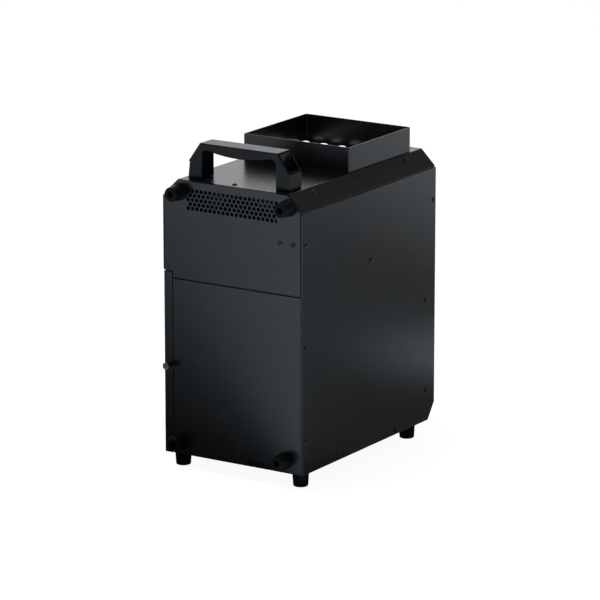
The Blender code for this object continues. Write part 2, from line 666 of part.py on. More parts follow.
# ---------------------------------------------------------------- fluid and heat
PIPE_X = 0.084
PIPE_Z = 0.040
PUMP_Y = 0.110
PUMP_TOP = 0.135
NECK = (-0.050, 0.112)
CONTAINER_TOP = 0.225
HEATER_LOW = 0.180
HEATER_HIGH = 0.370


def make_container():
    body = block((-0.112, 0.030, 0.0040), (0.038, 0.200, CONTAINER_TOP), 0.012)
    container = piece("fluid_container", [body], BOTTLE)
    where = (*NECK, CONTAINER_TOP)
    neck = turned([(0, 0.014), (0.022, 0.014), (0.022, -0.004), (0, -0.004)], 16)
    join(container, cutter("container_neck", [moved(neck, where)]))
    bore, inside, outside = 0.0045, 0.0224, 0.0260
    cap = [(bore, 0.020), (outside - 0.0025, 0.020), (outside, 0.0175), (outside, 0.002), (inside, 0.002),
           (inside, 0.0145), (bore, 0.0145)]
    piece("container_cap", [moved(turned(cap, 16, ring=True), where)], PLASTIC, where)
    over, level = CONTAINER_TOP + 0.0145, 0.2765
    route = [(*NECK, over), (*NECK, 0.250), (-0.042, 0.112, 0.268), (-0.018, 0.1115, level),
             (0.030, 0.1105, level), (0.068, PUMP_Y, 0.266), (PIPE_X, PUMP_Y, 0.236), (PIPE_X, PUMP_Y, 0.180),
             (PIPE_X, PUMP_Y, PUMP_TOP + GAP)]
    piece("intake_hose", [tube(route, 0.004, 0.012)], HOSE)


def make_pump():
    floor = SHEET + GAP
    stem, neck, coil, waist, foot = 0.003, 0.010, 0.021, 0.012, 0.020
    body = [(0, PUMP_TOP), (stem, PUMP_TOP), (stem, 0.120), (neck, 0.118), (neck, 0.104), (coil, 0.102),
            (coil, 0.052), (waist, 0.050), (waist, 0.024), (foot, 0.022), (foot, floor), (0, floor)]
    pump = piece("fluid_pump", [moved(turned(body, 16), (PIPE_X, PUMP_Y, 0))], PLASTIC)
    outlet_end = PUMP_Y + 0.026
    outlet = rod((PIPE_X, PUMP_Y + 0.008, PIPE_Z), (PIPE_X, outlet_end, PIPE_Z), 0.004, 10)
    join(pump, cutter("pump_outlet", [outlet]))
    route = [(PIPE_X, outlet_end + GAP, PIPE_Z), (PIPE_X, 0.175, PIPE_Z), (PIPE_X, 0.213, PIPE_Z),
             (0.080, 0.236, PIPE_Z), (0.060, 0.256, 0.044), (0.026, 0.266, 0.060),
             (0.005, CHUTE_MIDDLE, 0.090), (0, CHUTE_MIDDLE, 0.125), (0, CHUTE_MIDDLE, HEATER_LOW - GAP)]
    piece("pressure_pipe", [tube(route, 0.0025, 0.012)], COPPER)


def make_heater():
    radius, edge = 0.042, 0.001
    core = [(0, HEATER_HIGH), (radius - edge, HEATER_HIGH), (radius, HEATER_HIGH - edge),
            (radius, HEATER_LOW), (0, HEATER_LOW)]
    centre = (0, CHUTE_MIDDLE, 0)
    piece("heater_core", [moved(turned(core, 20), centre)], ALUMINIUM)
    inside, outside, low, high = radius + 0.0004, 0.0515, 0.188, 0.364
    jacket = [(outside, high), (outside, low), (inside, low), (inside, high)]
    piece("heater_jacket", [moved(turned(jacket, 20, ring=True), centre)], WOOL)
    shelf, back = HEATER_LOW - GAP, 0.2149
    path = bent([(0.312, shelf), (back, shelf), (back, 0.120)], 0.0025)
    bracket = piece("heater_bracket", [folded(path, -0.046, 0.046, "X", THIN)], STEEL)
    cut(bracket, cutter("pipe_pass", [rod((0, CHUTE_MIDDLE, 0.170), (0, CHUTE_MIDDLE, 0.185), 0.005, 12)]))
    stem, flange, seat = 0.0060, 0.0135, HEATER_HIGH + GAP
    nozzle = [(0, 0.437), (0.0025, 0.437), (0.0035, 0.434), (stem, 0.428), (stem, 0.386), (flange, 0.385),
              (flange, seat), (0, seat)]
    piece("fog_nozzle", [moved(turned(nozzle, 14), centre)], BRASS)


# ---------------------------------------------------------------- fan
FAN_SIZE = 0.119
FAN_REAR = 0.030
FAN_DEPTH = 0.025
FAN_HEIGHT = 0.2905 + THIN + GAP + FAN_SIZE / 2


def fan_blades(count=7):
    """Pitched blades that reach into the hub, about the y axis."""
    blade = block((0.018, -0.0080, -0.0010), (0.0550, 0.0080, 0.0010))
    tilt = Matrix.Rotation(math.radians(38), 4, "X")
    turns = [Matrix.Rotation(2 * math.pi * i / count, 4, "Y") for i in range(count)]
    return [moved(blade, (0, 0, 0), turn @ tilt) for turn in turns]


def make_fan():
    half = FAN_SIZE / 2
    middle = Vector((0, FAN_REAR + FAN_DEPTH / 2, FAN_HEIGHT))
    outline = rounded_rectangle((-half, -half), (half, half), 0.005, 2)
    ring = flat([outline, circle((0, 0), 0.0572, 24)], FAN_DEPTH)
    frame = piece("cooling_fan_frame", [moved(ring, middle, UPRIGHT)], PLASTIC)
    front = middle + Vector((0, FAN_DEPTH / 2 - 0.0020, 0))
    arm = block((0.015, -0.0018, -0.0020), (0.0590, 0.0018, 0.0020))
    turns = [Matrix.Rotation(2 * math.pi * i / 3 + math.pi / 6, 4, "Y") for i in range(3)]
    join(frame, cutter("fan_arms", [moved(arm, front, turn) for turn in turns]))
    reach = Vector((0, 0.002, 0))
    join(frame, cutter("fan_seat", [rod(front - reach, front + reach, 0.021, 16)]))
    hub = rod((0, FAN_REAR + 0.0015, FAN_HEIGHT), (0, FAN_REAR + 0.0200, FAN_HEIGHT), 0.0210, 16)
    rotor = piece("cooling_fan_rotor", [hub], PLASTIC, (0, FAN_REAR, FAN_HEIGHT))
    centre = (0, FAN_REAR + 0.0105, FAN_HEIGHT)
    join(rotor, cutter("fan_blades", [moved(blade, centre) for blade in fan_blades()]))


# ---------------------------------------------------------------- front face
BUTTON_HEIGHT = 0.335
BUTTON_PLACES = {"button_menu": 0.036, "button_down": 0.012, "button_up": -0.012, "button_enter": -0.036}
SOCKET_HEIGHT = 0.240
SIGNAL_IN_X = 0.030
SIGNAL_OUT_X = -0.030
POWER_HEIGHT = 0.110
INLET_X = 0.055
FUSE_X = 0.0
SWITCH_X = -0.050
ROCKER_Y = 0.382              # the rocker's pivot
FACE = DEPTH + GAP            # back of what stands on the front face
PLATE_FACE = FACE + 0.002


def make_controls():
    outline = rounded_rectangle((-0.062, 0.318), (0.062, 0.392), 0.006)
    window = rectangle((-0.0350, 0.352), (0.0350, 0.375))
    holes = [circle((x, BUTTON_HEIGHT), 0.0048, 12) for x in BUTTON_PLACES.values()]
    plate = moved(flat([outline, window] + holes, 0.002), (0, FACE + 0.001, 0), UPRIGHT)
    piece("control_plate", [plate], GLOSS)
    piece("display_window", [block((-0.0346, FACE, 0.3524), (0.0346, FACE + 0.0015, 0.3746))], GLASS)
    cap = turned([(0, 0.0010), (0.0036, 0.0010), (0.0044, 0.0002), (0.0044, -0.0085), (0, -0.0085)], 12)
    for name, x in BUTTON_PLACES.items():
        where = (x, PLATE_FACE, BUTTON_HEIGHT)
        piece(name, [moved(cap, where, ALONG_Y)], PLASTIC, where)
    board = piece("control_board", [block((-0.058, 0.3680, 0.320), (0.058, 0.3696, 0.388))], CIRCUIT)
    switches = [block((x - 0.003, 0.3690, BUTTON_HEIGHT - 0.003), (x + 0.003, 0.3775, BUTTON_HEIGHT + 0.003))
                for x in BUTTON_PLACES.values()]
    screen = block((-0.034, 0.3690, 0.350), (0.034, 0.3835, 0.377))
    join(board, cutter("board_switches", switches + [screen]))


def make_sockets():
    flange = rounded_rectangle((-0.013, -0.0155), (0.013, 0.0155), 0.003, 2)
    seat = (0, FACE + 0.00125, 0)
    for name, x in (("signal_in_socket", SIGNAL_IN_X), ("signal_out_socket", SIGNAL_OUT_X)):
        place = Vector((x, 0, SOCKET_HEIGHT))
        socket = piece(name, [moved(flat([flange], 0.0025), place + Vector(seat), UPRIGHT)], PLASTIC)
        barrel = rod(place + Vector((0, 0.364, 0)), place + Vector((0, FACE + 0.001, 0)), 0.0110, 16)
        join(socket, cutter(name + "_barrel", [barrel]))
        if name == "signal_in_socket":
            room = [rod(place + Vector((0, 0.372, 0)), place + Vector((0, 0.395, 0)), 0.0092, 16)]
        else:
            room = [rod(place + Vector((dx, 0.374, dz)), place + Vector((dx, 0.395, dz)), 0.0016, 8)
                    for dx, dz in pin_places()]
        cut(socket, cutter(name + "_room", room))
    place = Vector((SIGNAL_IN_X, 0, SOCKET_HEIGHT))
    carrier = rod(place + Vector((0, 0.3723, 0)), place + Vector((0, 0.3740, 0)), 0.0080)
    contacts = piece("signal_in_contacts", [carrier], BRASS)
    pins = [rod(place + Vector((dx, 0.3730, dz)), place + Vector((dx, 0.3835, dz)), 0.0012, 8)
            for dx, dz in pin_places()]
    join(contacts, cutter("signal_pins", pins))


def pin_places():
    """Three contacts on a circle, one at the bottom."""
    return [(0.0048 * math.cos(a), 0.0048 * math.sin(a)) for a in (math.radians(d) for d in (30, 150, 270))]


def make_power_parts():
    flange = rounded_rectangle((-0.0245, -0.0140), (0.0245, 0.0140), 0.004, 2)
    place = Vector((INLET_X, 0, POWER_HEIGHT))
    seat = Vector((0, FACE + 0.00125, 0))
    inlet = piece("power_inlet", [moved(flat([flange], 0.0025), place + seat, UPRIGHT)], PLASTIC)
    join(inlet, cutter("inlet_body", [block(place + Vector((-0.0135, 0.362, -0.010)),
                                            place + Vector((0.0135, FACE + 0.001, 0.010)))]))
    cut(inlet, cutter("inlet_room", [block(place + Vector((-0.0121, 0.371, -0.0082)),
                                           place + Vector((0.0121, 0.395, 0.0082)))]))
    low, high = Vector((-0.001, 0.3720, -0.002)), Vector((0.001, 0.3835, 0.002))
    blades = [block(place + Vector((x, 0, z)) + low, place + Vector((x, 0, z)) + high)
              for x, z in ((-0.007, -0.0020), (0, 0.0030), (0.007, -0.0020))]
    carrier = block(place + Vector((-0.0100, 0.3713, -0.0060)), place + Vector((0.0100, 0.3730, 0.0060)))
    join(piece("inlet_contacts", [carrier], BRASS), cutter("inlet_blades", blades))
    holder = turned([(0, 0.002), (0.0085, 0.002), (0.0085, 0), (0.0062, 0), (0.0062, -0.022),
                     (0, -0.022)], 16)
    where = (FUSE_X, FACE, POWER_HEIGHT)
    piece("fuse_holder", [moved(holder, where, ALONG_Y)], PLASTIC)
    top = FRONT_RISE - GAP
    cap = turned([(0, top), (0.0058, top), (0.0065, top - 0.001), (0.0070, 0.0023), (0, 0.0023)], 16)
    fuse_cap = piece("fuse_cap", [moved(cap, where, ALONG_Y)], PLASTIC, where)
    slot = block((FUSE_X - 0.005, FACE + FRONT_RISE - 0.003, POWER_HEIGHT - 0.0006),
                 (FUSE_X + 0.005, FACE + FRONT_RISE + 0.001, POWER_HEIGHT + 0.0006))
    cut(fuse_cap, cutter("fuse_cap_slot", [slot]))


def make_switch():
    outline = rounded_rectangle((-0.0125, -0.0165), (0.0125, 0.0165), 0.002, 1)
    place = Vector((SWITCH_X, 0, POWER_HEIGHT))
    bezel = moved(flat([outline], 0.002), place + Vector((0, FACE + 0.001, 0)), UPRIGHT)
    frame = piece("power_switch_frame", [bezel], PLASTIC)
    join(frame, cutter("switch_box", [block(place + Vector((-0.0095, 0.364, -0.0140)),
                                            place + Vector((0.0095, FACE + 0.001, 0.0140)))]))
    cut(frame, cutter("switch_room", [block(place + Vector((-0.0075, 0.374, -0.0128)),
                                            place + Vector((0.0075, 0.395, 0.0128)))]))
    profile = [(-0.0035, -0.006), (0.0035, -0.0112), (0.0080, -0.0112), (0.0058, 0), (0.0080, 0.0112),
               (0.0035, 0.0112), (-0.0035, 0.006)]
    pivot = (SWITCH_X, ROCKER_Y, POWER_HEIGHT)
    tilt = Matrix.Rotation(ROCKER_TILT, 4, "X")
    rocker = moved(moved(flat([profile], 0.0142), (0, 0, 0), SIDEWAYS), pivot, tilt)
    piece("power_rocker", [rocker], GLOSS, pivot)


def make_power_supply():
    supply = piece("power_supply", [block((0.030, 0.272, 0.006), (0.112, 0.350, 0.046), 0.002, 1)], ALUMINIUM)
    legs = [rod((x, y, SHEET + GAP), (x, y, 0.008), 0.003, 8) for x in (0.038, 0.104) for y in (0.280, 0.342)]
    join(supply, cutter("supply_legs", legs))


# ---------------------------------------------------------------- build
FOOT_HOLES = foot_holes()
HANDLE_HOLES = handle_holes()

make_chassis()
make_rear_panel()
make_top_cover()
make_side_covers()
make_front_panel()
make_frame()
make_bay()
make_door()
make_hinge()
make_thumbscrew()
make_chute()
make_handle()
make_feet()
make_container()
make_pump()
make_heater()
make_fan()
make_controls()
make_sockets()
make_power_parts()
make_switch()
make_power_supply()
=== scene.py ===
import math
import random

import bmesh
import bpy
from mathutils import Matrix, Vector
from mathutils.geometry import tessellate_polygon


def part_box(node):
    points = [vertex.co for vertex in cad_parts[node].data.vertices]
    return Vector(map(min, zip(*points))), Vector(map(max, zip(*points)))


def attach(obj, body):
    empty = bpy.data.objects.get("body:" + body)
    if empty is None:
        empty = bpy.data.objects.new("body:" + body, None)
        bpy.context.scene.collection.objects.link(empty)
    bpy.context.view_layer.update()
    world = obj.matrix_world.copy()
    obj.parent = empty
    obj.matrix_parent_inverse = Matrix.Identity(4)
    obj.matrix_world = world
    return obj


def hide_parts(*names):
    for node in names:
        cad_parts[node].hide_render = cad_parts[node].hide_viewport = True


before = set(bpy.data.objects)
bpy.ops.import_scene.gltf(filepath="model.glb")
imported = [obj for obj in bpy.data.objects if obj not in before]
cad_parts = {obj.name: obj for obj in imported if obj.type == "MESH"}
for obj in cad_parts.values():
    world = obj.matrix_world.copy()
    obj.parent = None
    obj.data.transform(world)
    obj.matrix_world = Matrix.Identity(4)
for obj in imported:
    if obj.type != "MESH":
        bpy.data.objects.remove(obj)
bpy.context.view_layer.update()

# -------- the case's own frame and sizes, in metres
# x to the right across the rear face, y from the rear face to the front, z up from the case's underside
BODY = Vector((0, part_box("chassis_tray")[0].y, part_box("chassis_tray")[0].z))
HALF = 0.125
DEPTH = 0.386
HEIGHT = 0.431
BEND = 0.0265
SLOPE_DEPTH = 0.019
SLOPE_HEIGHT = 0.026
SHEET = 0.0018
THIN = 0.0015
SHEET_BEND = 0.0025
GAP = 0.0003
SEAM = 0.0015
WIDE_SEAM = 0.0022
SEAM_HEIGHT = 0.2755
INNER = HALF - SHEET - GAP
PANEL_HALF = HALF - SHEET - 0.0008
CHUTE_HALF = 0.0962
CHUTE_MIDDLE = 0.267
CHUTE_REACH = 0.0897
CHUTE_RISE = 0.0387
BOARD_TOP = 0.4244
DOOR_BOTTOM = 0.0003
DOOR_TOP = 0.286
DOOR_FLANGE = 0.016
DOOR_CORNER = 0.003
HINGE_Y = 0.212
HINGE_ROOM = 0.0034
FOOT_HEIGHT = BODY.z
BACK_FOOT = 0.024
CAP_PLACE = (-0.050, 0.112, 0.227)
LIQUID_LEVEL = 0.172
FACE = DEPTH + GAP
PLATE_FACE = FACE + 0.002

UPRIGHT = Matrix.Rotation(math.radians(90), 4, "X")                     # outline (x, z), thickness along y
SIDEWAYS = Matrix(((0, 0, 1, 0), (1, 0, 0, 0), (0, 1, 0, 0), (0, 0, 0, 1)))    # (y, z), thickness along x
TO_FRONT = Matrix.Rotation(math.radians(-90), 4, "X")                   # turned shape, top facing +y
TO_REAR = Matrix.Rotation(math.radians(90), 4, "X")
TO_RIGHT = Matrix.Rotation(math.radians(90), 4, "Y")
TO_LEFT = Matrix.Rotation(math.radians(-90), 4, "Y")
RNG = random.Random(7)


# -------- materials
def link(tree, source, target):
    tree.links.new(source, target)


def add_node(tree, kind, **values):
    """A shader node with the values of its inputs, whose names have _ for a space."""
    node = tree.nodes.new("ShaderNode" + kind)
    for name, value in values.items():
        node.inputs[name.replace("_", " ")].default_value = value
    return node


def noise(tree, place, scale, detail=3.0, rough=0.55):
    node = add_node(tree, "TexNoise", Scale=scale, Detail=detail, Roughness=rough)
    link(tree, place, node.inputs["Vector"])
    return node.outputs["Fac"]


def spread(tree, value, low, high, from_low=0.3, from_high=0.7):
    node = add_node(tree, "MapRange", From_Min=from_low, From_Max=from_high, To_Min=low, To_Max=high)
    link(tree, value, node.inputs["Value"])
    return node.outputs["Result"]


def blended(tree, factor, first, second):
    """A colour between two, each a colour or another node's output."""
    node = add_node(tree, "Mix")
    node.data_type = "RGBA"
    link(tree, factor, node.inputs[0])
    for socket, color in ((node.inputs[6], first), (node.inputs[7], second)):
        if isinstance(color, tuple):
            socket.default_value = (*color, 1)
        else:
            link(tree, color, socket)
    return node.outputs[2]


# How much lighter the edges are painted: a painted edge highlight, broken up by noise like light wear.
EDGE_HIGHLIGHT_AND_WEAR = 0.25


def paler(color, gain, lift):
    return tuple(min(1, c * gain + lift) for c in color)


def surface(name, color, roughness, metallic=0.0, shade=0.25, patch=35, play=0.06, grain=0.0, grain_size=900,
            dust=0.0, specular=0.5, transmission=0.0):
    """A material whose colour, roughness and relief vary over the surface, with dust, and edges painted
    lighter as a painted edge highlight broken up like light wear.
    """
    made = bpy.data.materials.new(name)
    made.use_nodes = True
    tree = made.node_tree
    shader = tree.nodes["Principled BSDF"]
    shader.inputs["Metallic"].default_value = metallic
    shader.inputs["Specular IOR Level"].default_value = specular
    shader.inputs["Transmission Weight"].default_value = transmission
    mapping = add_node(tree, "Mapping")
    link(tree, add_node(tree, "TexCoord").outputs["Object"], mapping.inputs["Vector"])
    place = mapping.outputs["Vector"]
    clouds = noise(tree, place, patch, 4.0)
    tint = blended(tree, spread(tree, clouds, 0, 1), paler(color, 1 - shade, 0), paler(color, 1 + shade, 0))
    if dust:
        fine = noise(tree, place, patch * 9, 5.0, 0.7)
        tint = blended(tree, spread(tree, fine, 0, dust, 0.55, 0.8), tint, paler(color, 2.2, 0.01))
    worn = noise(tree, place, patch * 2.3, 5.0, 0.65)
    rough = spread(tree, worn, roughness - play, roughness + play)
    # Edges found by pointiness and painted lighter, broken up by noise: a painted edge highlight with the
    # look of light wear.
    edges = add_node(tree, "NewGeometry").outputs["Pointiness"]
    highlit_and_worn_edges = add_node(tree, "Math")
    highlit_and_worn_edges.operation = "MULTIPLY"
    link(tree, spread(tree, edges, 0, EDGE_HIGHLIGHT_AND_WEAR, 0.56, 0.68), highlit_and_worn_edges.inputs[0])
    link(tree, spread(tree, noise(tree, place, patch * 7, 4.0), 0.2, 1), highlit_and_worn_edges.inputs[1])
    tint = blended(tree, highlit_and_worn_edges.outputs[0], tint, paler(color, 2.5, 0.02))
    link(tree, tint, shader.inputs["Base Color"])
    link(tree, rough, shader.inputs["Roughness"])
    if grain:
        bump = add_node(tree, "Bump", Strength=grain, Distance=0.0002)
        link(tree, noise(tree, place, grain_size, 2.0), bump.inputs["Height"])
        link(tree, bump.outputs["Normal"], shader.inputs["Normal"])
    return made


def woven(name, color, roughness, threads):
    """Coarse glass-fibre cloth: two crossed sets of threads."""
    made = surface(name, color, roughness, shade=0.12, patch=60)
    tree = made.node_tree
    shader = tree.nodes["Principled BSDF"]
    place = tree.nodes["Mapping"].outputs["Vector"]
    bump = add_node(tree, "Bump", Strength=0.8, Distance=0.0006)
    heights = []
    for axis in ("X", "Z"):
        wave = add_node(tree, "TexWave", Scale=threads, Distortion=0.6)
        wave.bands_direction = axis
        link(tree, place, wave.inputs["Vector"])
        heights.append(wave.outputs["Fac"])
    larger = add_node(tree, "Math")
    larger.operation = "MAXIMUM"
    link(tree, heights[0], larger.inputs[0])
    link(tree, heights[1], larger.inputs[1])
    link(tree, larger.outputs[0], bump.inputs["Height"])
    link(tree, bump.outputs["Normal"], shader.inputs["Normal"])
    return made


def circuit(name, board, track):
    """Circuit board: solder mask with paler tracks under it."""
    made = surface(name, board, 0.28, shade=0.2, patch=50, grain=0.1, grain_size=500)
    tree = made.node_tree
    shader = tree.nodes["Principled BSDF"]
    cells = add_node(tree, "TexVoronoi", Scale=90)
    cells.distance = "MANHATTAN"
    cells.feature = "DISTANCE_TO_EDGE"
    link(tree, tree.nodes["Mapping"].outputs["Vector"], cells.inputs["Vector"])
    base = shader.inputs["Base Color"].links[0].from_socket
    tracks = spread(tree, cells.outputs["Distance"], 1, 0, 0.03, 0.05)
    link(tree, blended(tree, tracks, base, track), shader.inputs["Base Color"])
    return made


def glowing(name, color, strength):
    """A lit surface, a little uneven over its width."""
    made = surface(name, color, 0.25, shade=0.04, patch=120)
    shader = made.node_tree.nodes["Principled BSDF"]
    base = shader.inputs["Base Color"].links[0].from_socket
    link(made.node_tree, base, shader.inputs["Emission Color"])
    shader.inputs["Emission Strength"].default_value = strength
    return made


def filled_bottle(name, empty, liquid, level):
    """Milky plastic that looks darker up to the height that the liquid stands at."""
    made = surface(name, empty, 0.38, shade=0.05, patch=30, grain=0.15, grain_size=350)
    tree = made.node_tree
    shader = tree.nodes["Principled BSDF"]
    shader.inputs["Subsurface Weight"].default_value = 0.25
    shader.inputs["Subsurface Radius"].default_value = (0.01, 0.01, 0.008)
    split = add_node(tree, "SeparateXYZ")
    link(tree, tree.nodes["Mapping"].outputs["Vector"], split.inputs["Vector"])
    base = shader.inputs["Base Color"].links[0].from_socket
    above = spread(tree, split.outputs["Z"], 0, 1, level - 0.002, level + 0.002)
    link(tree, blended(tree, above, liquid, base), shader.inputs["Base Color"])
    return made


COAT = surface("powder_coat", (0.0034, 0.0036, 0.0039), 0.26, shade=0.10, patch=22, play=0.018, grain=0.07,
               grain_size=1500, dust=0.012)
COAT_INNER = surface("grey_coat", (0.003, 0.003, 0.0033), 0.55, shade=0.15, grain=0.25, grain_size=1300)
PLASTIC = surface("moulded_plastic", (0.0030, 0.0031, 0.0034), 0.26, shade=0.15, grain=0.28, grain_size=1900,
                  dust=0.12, specular=0.20)
GLOSS = surface("gloss_plastic", (0.003, 0.003, 0.0035), 0.14, shade=0.2, play=0.03, grain=0.03,
                grain_size=300)
RUBBER = surface("rubber", (0.0036, 0.0037, 0.0039), 0.50, shade=0.25, patch=90, grain=0.4, grain_size=1400,
                 dust=0.3, specular=0.10)
ZINC = surface("zinc", (0.52, 0.53, 0.55), 0.30, metallic=1.0, shade=0.12, patch=160, play=0.08, grain=0.1)
BLACK_STEEL = surface("black_steel", (0.055, 0.056, 0.060), 0.34, metallic=1.0, shade=0.25, patch=220,
                      play=0.08, grain=0.12)
DARK_STEEL = surface("dark_screw", (0.007, 0.007, 0.008), 0.36, shade=0.25, patch=260, play=0.08, grain=0.15)
KNURL = surface("knurled_steel", (0.20, 0.205, 0.215), 0.30, metallic=1.0, shade=0.2, patch=260, play=0.08,
                grain=0.1)
ALUMINIUM = surface("aluminium", (0.58, 0.59, 0.60), 0.36, metallic=1.0, shade=0.08, patch=80, grain=0.3,
                    grain_size=500)
BRASS = surface("brass", (0.56, 0.41, 0.17), 0.28, metallic=1.0, shade=0.15, patch=150, play=0.07, grain=0.08)
COPPER = surface("copper", (0.62, 0.29, 0.17), 0.26, metallic=1.0, shade=0.2, patch=130, play=0.08,
                 grain=0.08)
WOOL = woven("heater_cloth", (0.60, 0.56, 0.47), 0.9, 110)
BOARD = surface("light_board_mask", (0.003, 0.003, 0.0033), 0.30, shade=0.2, patch=70, play=0.05, grain=0.06)
CIRCUIT = circuit("control_board_mask", (0.012, 0.085, 0.040), (0.05, 0.22, 0.10))
HOSE = surface("silicone_hose", (0.62, 0.66, 0.64), 0.22, shade=0.06, patch=120, grain=0.05, transmission=0.5)
BOTTLE = filled_bottle("container_plastic", (0.72, 0.74, 0.71), (0.40, 0.47, 0.46), BODY.z + LIQUID_LEVEL)
DISPLAY = surface("display_glass", (0.006, 0.010, 0.014), 0.06, shade=0.2, play=0.02, grain=0.02,
                  grain_size=200)
LIT = glowing("led_light", (0.94, 0.97, 1.0), 1.05)
GLYPH = glowing("display_glyphs", (0.55, 0.80, 0.95), 1.4)
MARK = surface("printed_mark", (0.42, 0.43, 0.44), 0.5, shade=0.08, patch=300, grain=0.1)


# -------- outlines
def arc(centre, radius, start, end, steps):
    angles = [math.radians(start + (end - start) * i / steps) for i in range(steps + 1)]
    return [(centre[0] + radius * math.cos(a), centre[1] + radius * math.sin(a)) for a in angles]


def circle(centre, radius, sides):
    return arc(centre, radius, 0, 360 - 360 / sides, sides - 1)


def rounded(low, high, radius, steps=6):
    (x0, y0), (x1, y1) = low, high
    corners = ((x1, y1, -1, -1, 0), (x0, y1, 1, -1, 90), (x0, y0, 1, 1, 180), (x1, y0, -1, 1, 270))
    points = []
    for x, y, sx, sy, start in corners:
        points += arc((x + sx * radius, y + sy * radius), radius, start, start + 90, steps)
    return points


def toothed(outer, inner, count, angles=(0.0, 0.3, 0.6, 0.9)):
    """A round outline with flat-topped ribs, whose corners are at the angles given, in parts of one pitch."""
    radii = (inner, outer, outer, inner)
    return [(r * math.cos(2 * math.pi * (i + t) / count), r * math.sin(2 * math.pi * (i + t) / count))
            for i in range(count) for t, r in zip(angles, radii)]


def with_corners(points, radii, steps=5):
    """A closed outline whose corners have the radii given, 0 for a sharp one."""
    count = len(points)
    result = []
    for i, (corner, radius) in enumerate(zip(points, radii)):
        if not radius:
            result.append(tuple(corner))
            continue
        before, after = Vector(points[i - 1]), Vector(points[(i + 1) % count])
        result += fillet(before, Vector(corner), after, radius, steps)
    return result


def fillet(before, corner, after, radius, steps):
    into, out = (before - corner).normalized(), (after - corner).normalized()
    half_angle = into.angle(out) / 2
    reach = radius / math.tan(half_angle)
    centre = corner + (into + out).normalized() * (radius / math.sin(half_angle))
    first, last = corner + into * reach - centre, corner + out * reach - centre
    return [tuple(centre + first.lerp(last, i / steps).normalized() * radius) for i in range(steps + 1)]


def bent(points, radius):
    """The open path through the points, with its inner corners rounded."""
    path = [tuple(points[0])]
    for before, corner, after in zip(points, points[1:], points[2:]):
        path += fillet(Vector(before), Vector(corner), Vector(after), radius, 6)
    return path + [tuple(points[-1])]


def thickened(path, thickness):
    """Closed outline of a sheet that lies on the left of the path."""
    inner = []
    points = [Vector(p) for p in path]
    for i, point in enumerate(points):
        start = max(0, i - 1)
        directions = [(b - a).normalized() for a, b in zip(points[start:i + 1], points[start + 1:i + 2])]
        along = sum(directions, Vector((0, 0))).normalized()
        left = Vector((-along.y, along.x))
        stretch = 1 / max(0.3, left.dot(Vector((-directions[0].y, directions[0].x))))
        inner.append(tuple(point + left * thickness * stretch))
    return list(path) + inner[::-1]


# -------- meshes
def area_of(loop):
    return sum(a[0] * b[1] - b[0] * a[1] for a, b in zip(loop, loop[1:] + loop[:1])) / 2


def inset(loop, distance, inward):
    """The loop moved to its inside, or to its outside for a hole."""
    side = 1 if (area_of(loop) > 0) == inward else -1
    moved_loop = []
    for before, point, after in zip(loop[-1:] + loop[:-1], loop, loop[1:] + loop[:1]):
        before, point, after = Vector(before), Vector(point), Vector(after)
        a, b = (point - before).normalized(), (after - point).normalized()
        normal = Vector((-a.y, a.x)) + Vector((-b.y, b.x))
        normal = normal.normalized()
        stretch = 1 / max(0.4, normal.dot(Vector((-a.y, a.x))))
        moved_loop.append(tuple(point + normal * side * distance * stretch))
    return moved_loop


def plate(loops, thickness, edge=0.0004, steps=2):
    """A plate centred on its plane, with rounded edges. The first loop is its outline, the others holes."""
    turn = [math.radians(90 * i / steps) for i in range(steps + 1)]
    half = thickness / 2
    profile = [(edge * (1 - math.sin(t)), -half + edge * (1 - math.cos(t))) for t in turn]
    profile += [(edge * (1 - math.cos(t)), half - edge * (1 - math.sin(t))) for t in turn]
    verts, faces, caps = [], [], ([], [])
    for index, loop in enumerate(loops):
        if (area_of(loop) > 0) != (index == 0):
            loop = loop[::-1]
        first, count = len(verts), len(loop)
        for distance, z in profile:
            verts += [(x, y, z) for x, y in inset(loop, distance, index == 0)]
        for ring in range(len(profile) - 1):
            for i in range(count):
                a, b = first + ring * count + i, first + ring * count + (i + 1) % count
                faces.append((a, b, b + count, a + count))
        for cap, ring in zip(caps, (0, len(profile) - 1)):
            cap.append(list(range(first + ring * count, first + (ring + 1) * count)))
    for cap, flip in zip(caps, (True, False)):
        flat_index = [i for ring in cap for i in ring]
        for triangle in tessellate_polygon([[Vector(verts[i]) for i in ring] for ring in cap]):
            face = [flat_index[i] for i in triangle]
            faces.append(tuple(face[::-1] if flip else face))
    mesh = bpy.data.meshes.new("plate")
    mesh.from_pydata(verts, [], faces)
    return tidy(mesh)


def tidy(mesh):
    shape = bmesh.new()
    shape.from_mesh(mesh)
    bmesh.ops.remove_doubles(shape, verts=shape.verts, dist=0.000002)
    bmesh.ops.recalc_face_normals(shape, faces=shape.faces)
    shape.to_mesh(mesh)
    shape.free()
    return mesh


def dome(radius, low, rise):
    """The profile of a turned dome, from its crown down to its rim."""
    turns = [math.radians(15 * i) for i in range(1, 7)]
    return [(0, low + rise)] + [(radius * math.sin(t), low + rise * math.cos(t)) for t in turns]


def lathe(profile, steps, ring=False):
    """A turned shape about z; the profile holds (radius, height)."""
    verts, rows = [], []
    for radius, z in profile:
        if radius < 1e-7:
            rows.append([len(verts)] * steps)
            verts.append((0, 0, z))
            continue
        rows.append(list(range(len(verts), len(verts) + steps)))
        verts += [(radius * math.cos(2 * math.pi * i / steps), radius * math.sin(2 * math.pi * i / steps), z)
                  for i in range(steps)]
    pairs = list(zip(rows, rows[1:])) + ([(rows[-1], rows[0])] if ring else [])
    faces = []
    for upper, lower in pairs:
        for i in range(steps):
            j = (i + 1) % steps
            corners = []
            for v in (upper[i], upper[j], lower[j], lower[i]):
                if v not in corners:
                    corners.append(v)
            if len(corners) > 2:
                faces.append(tuple(corners))
    mesh = bpy.data.meshes.new("turned")
    mesh.from_pydata(verts, [], faces)
    return tidy(mesh)


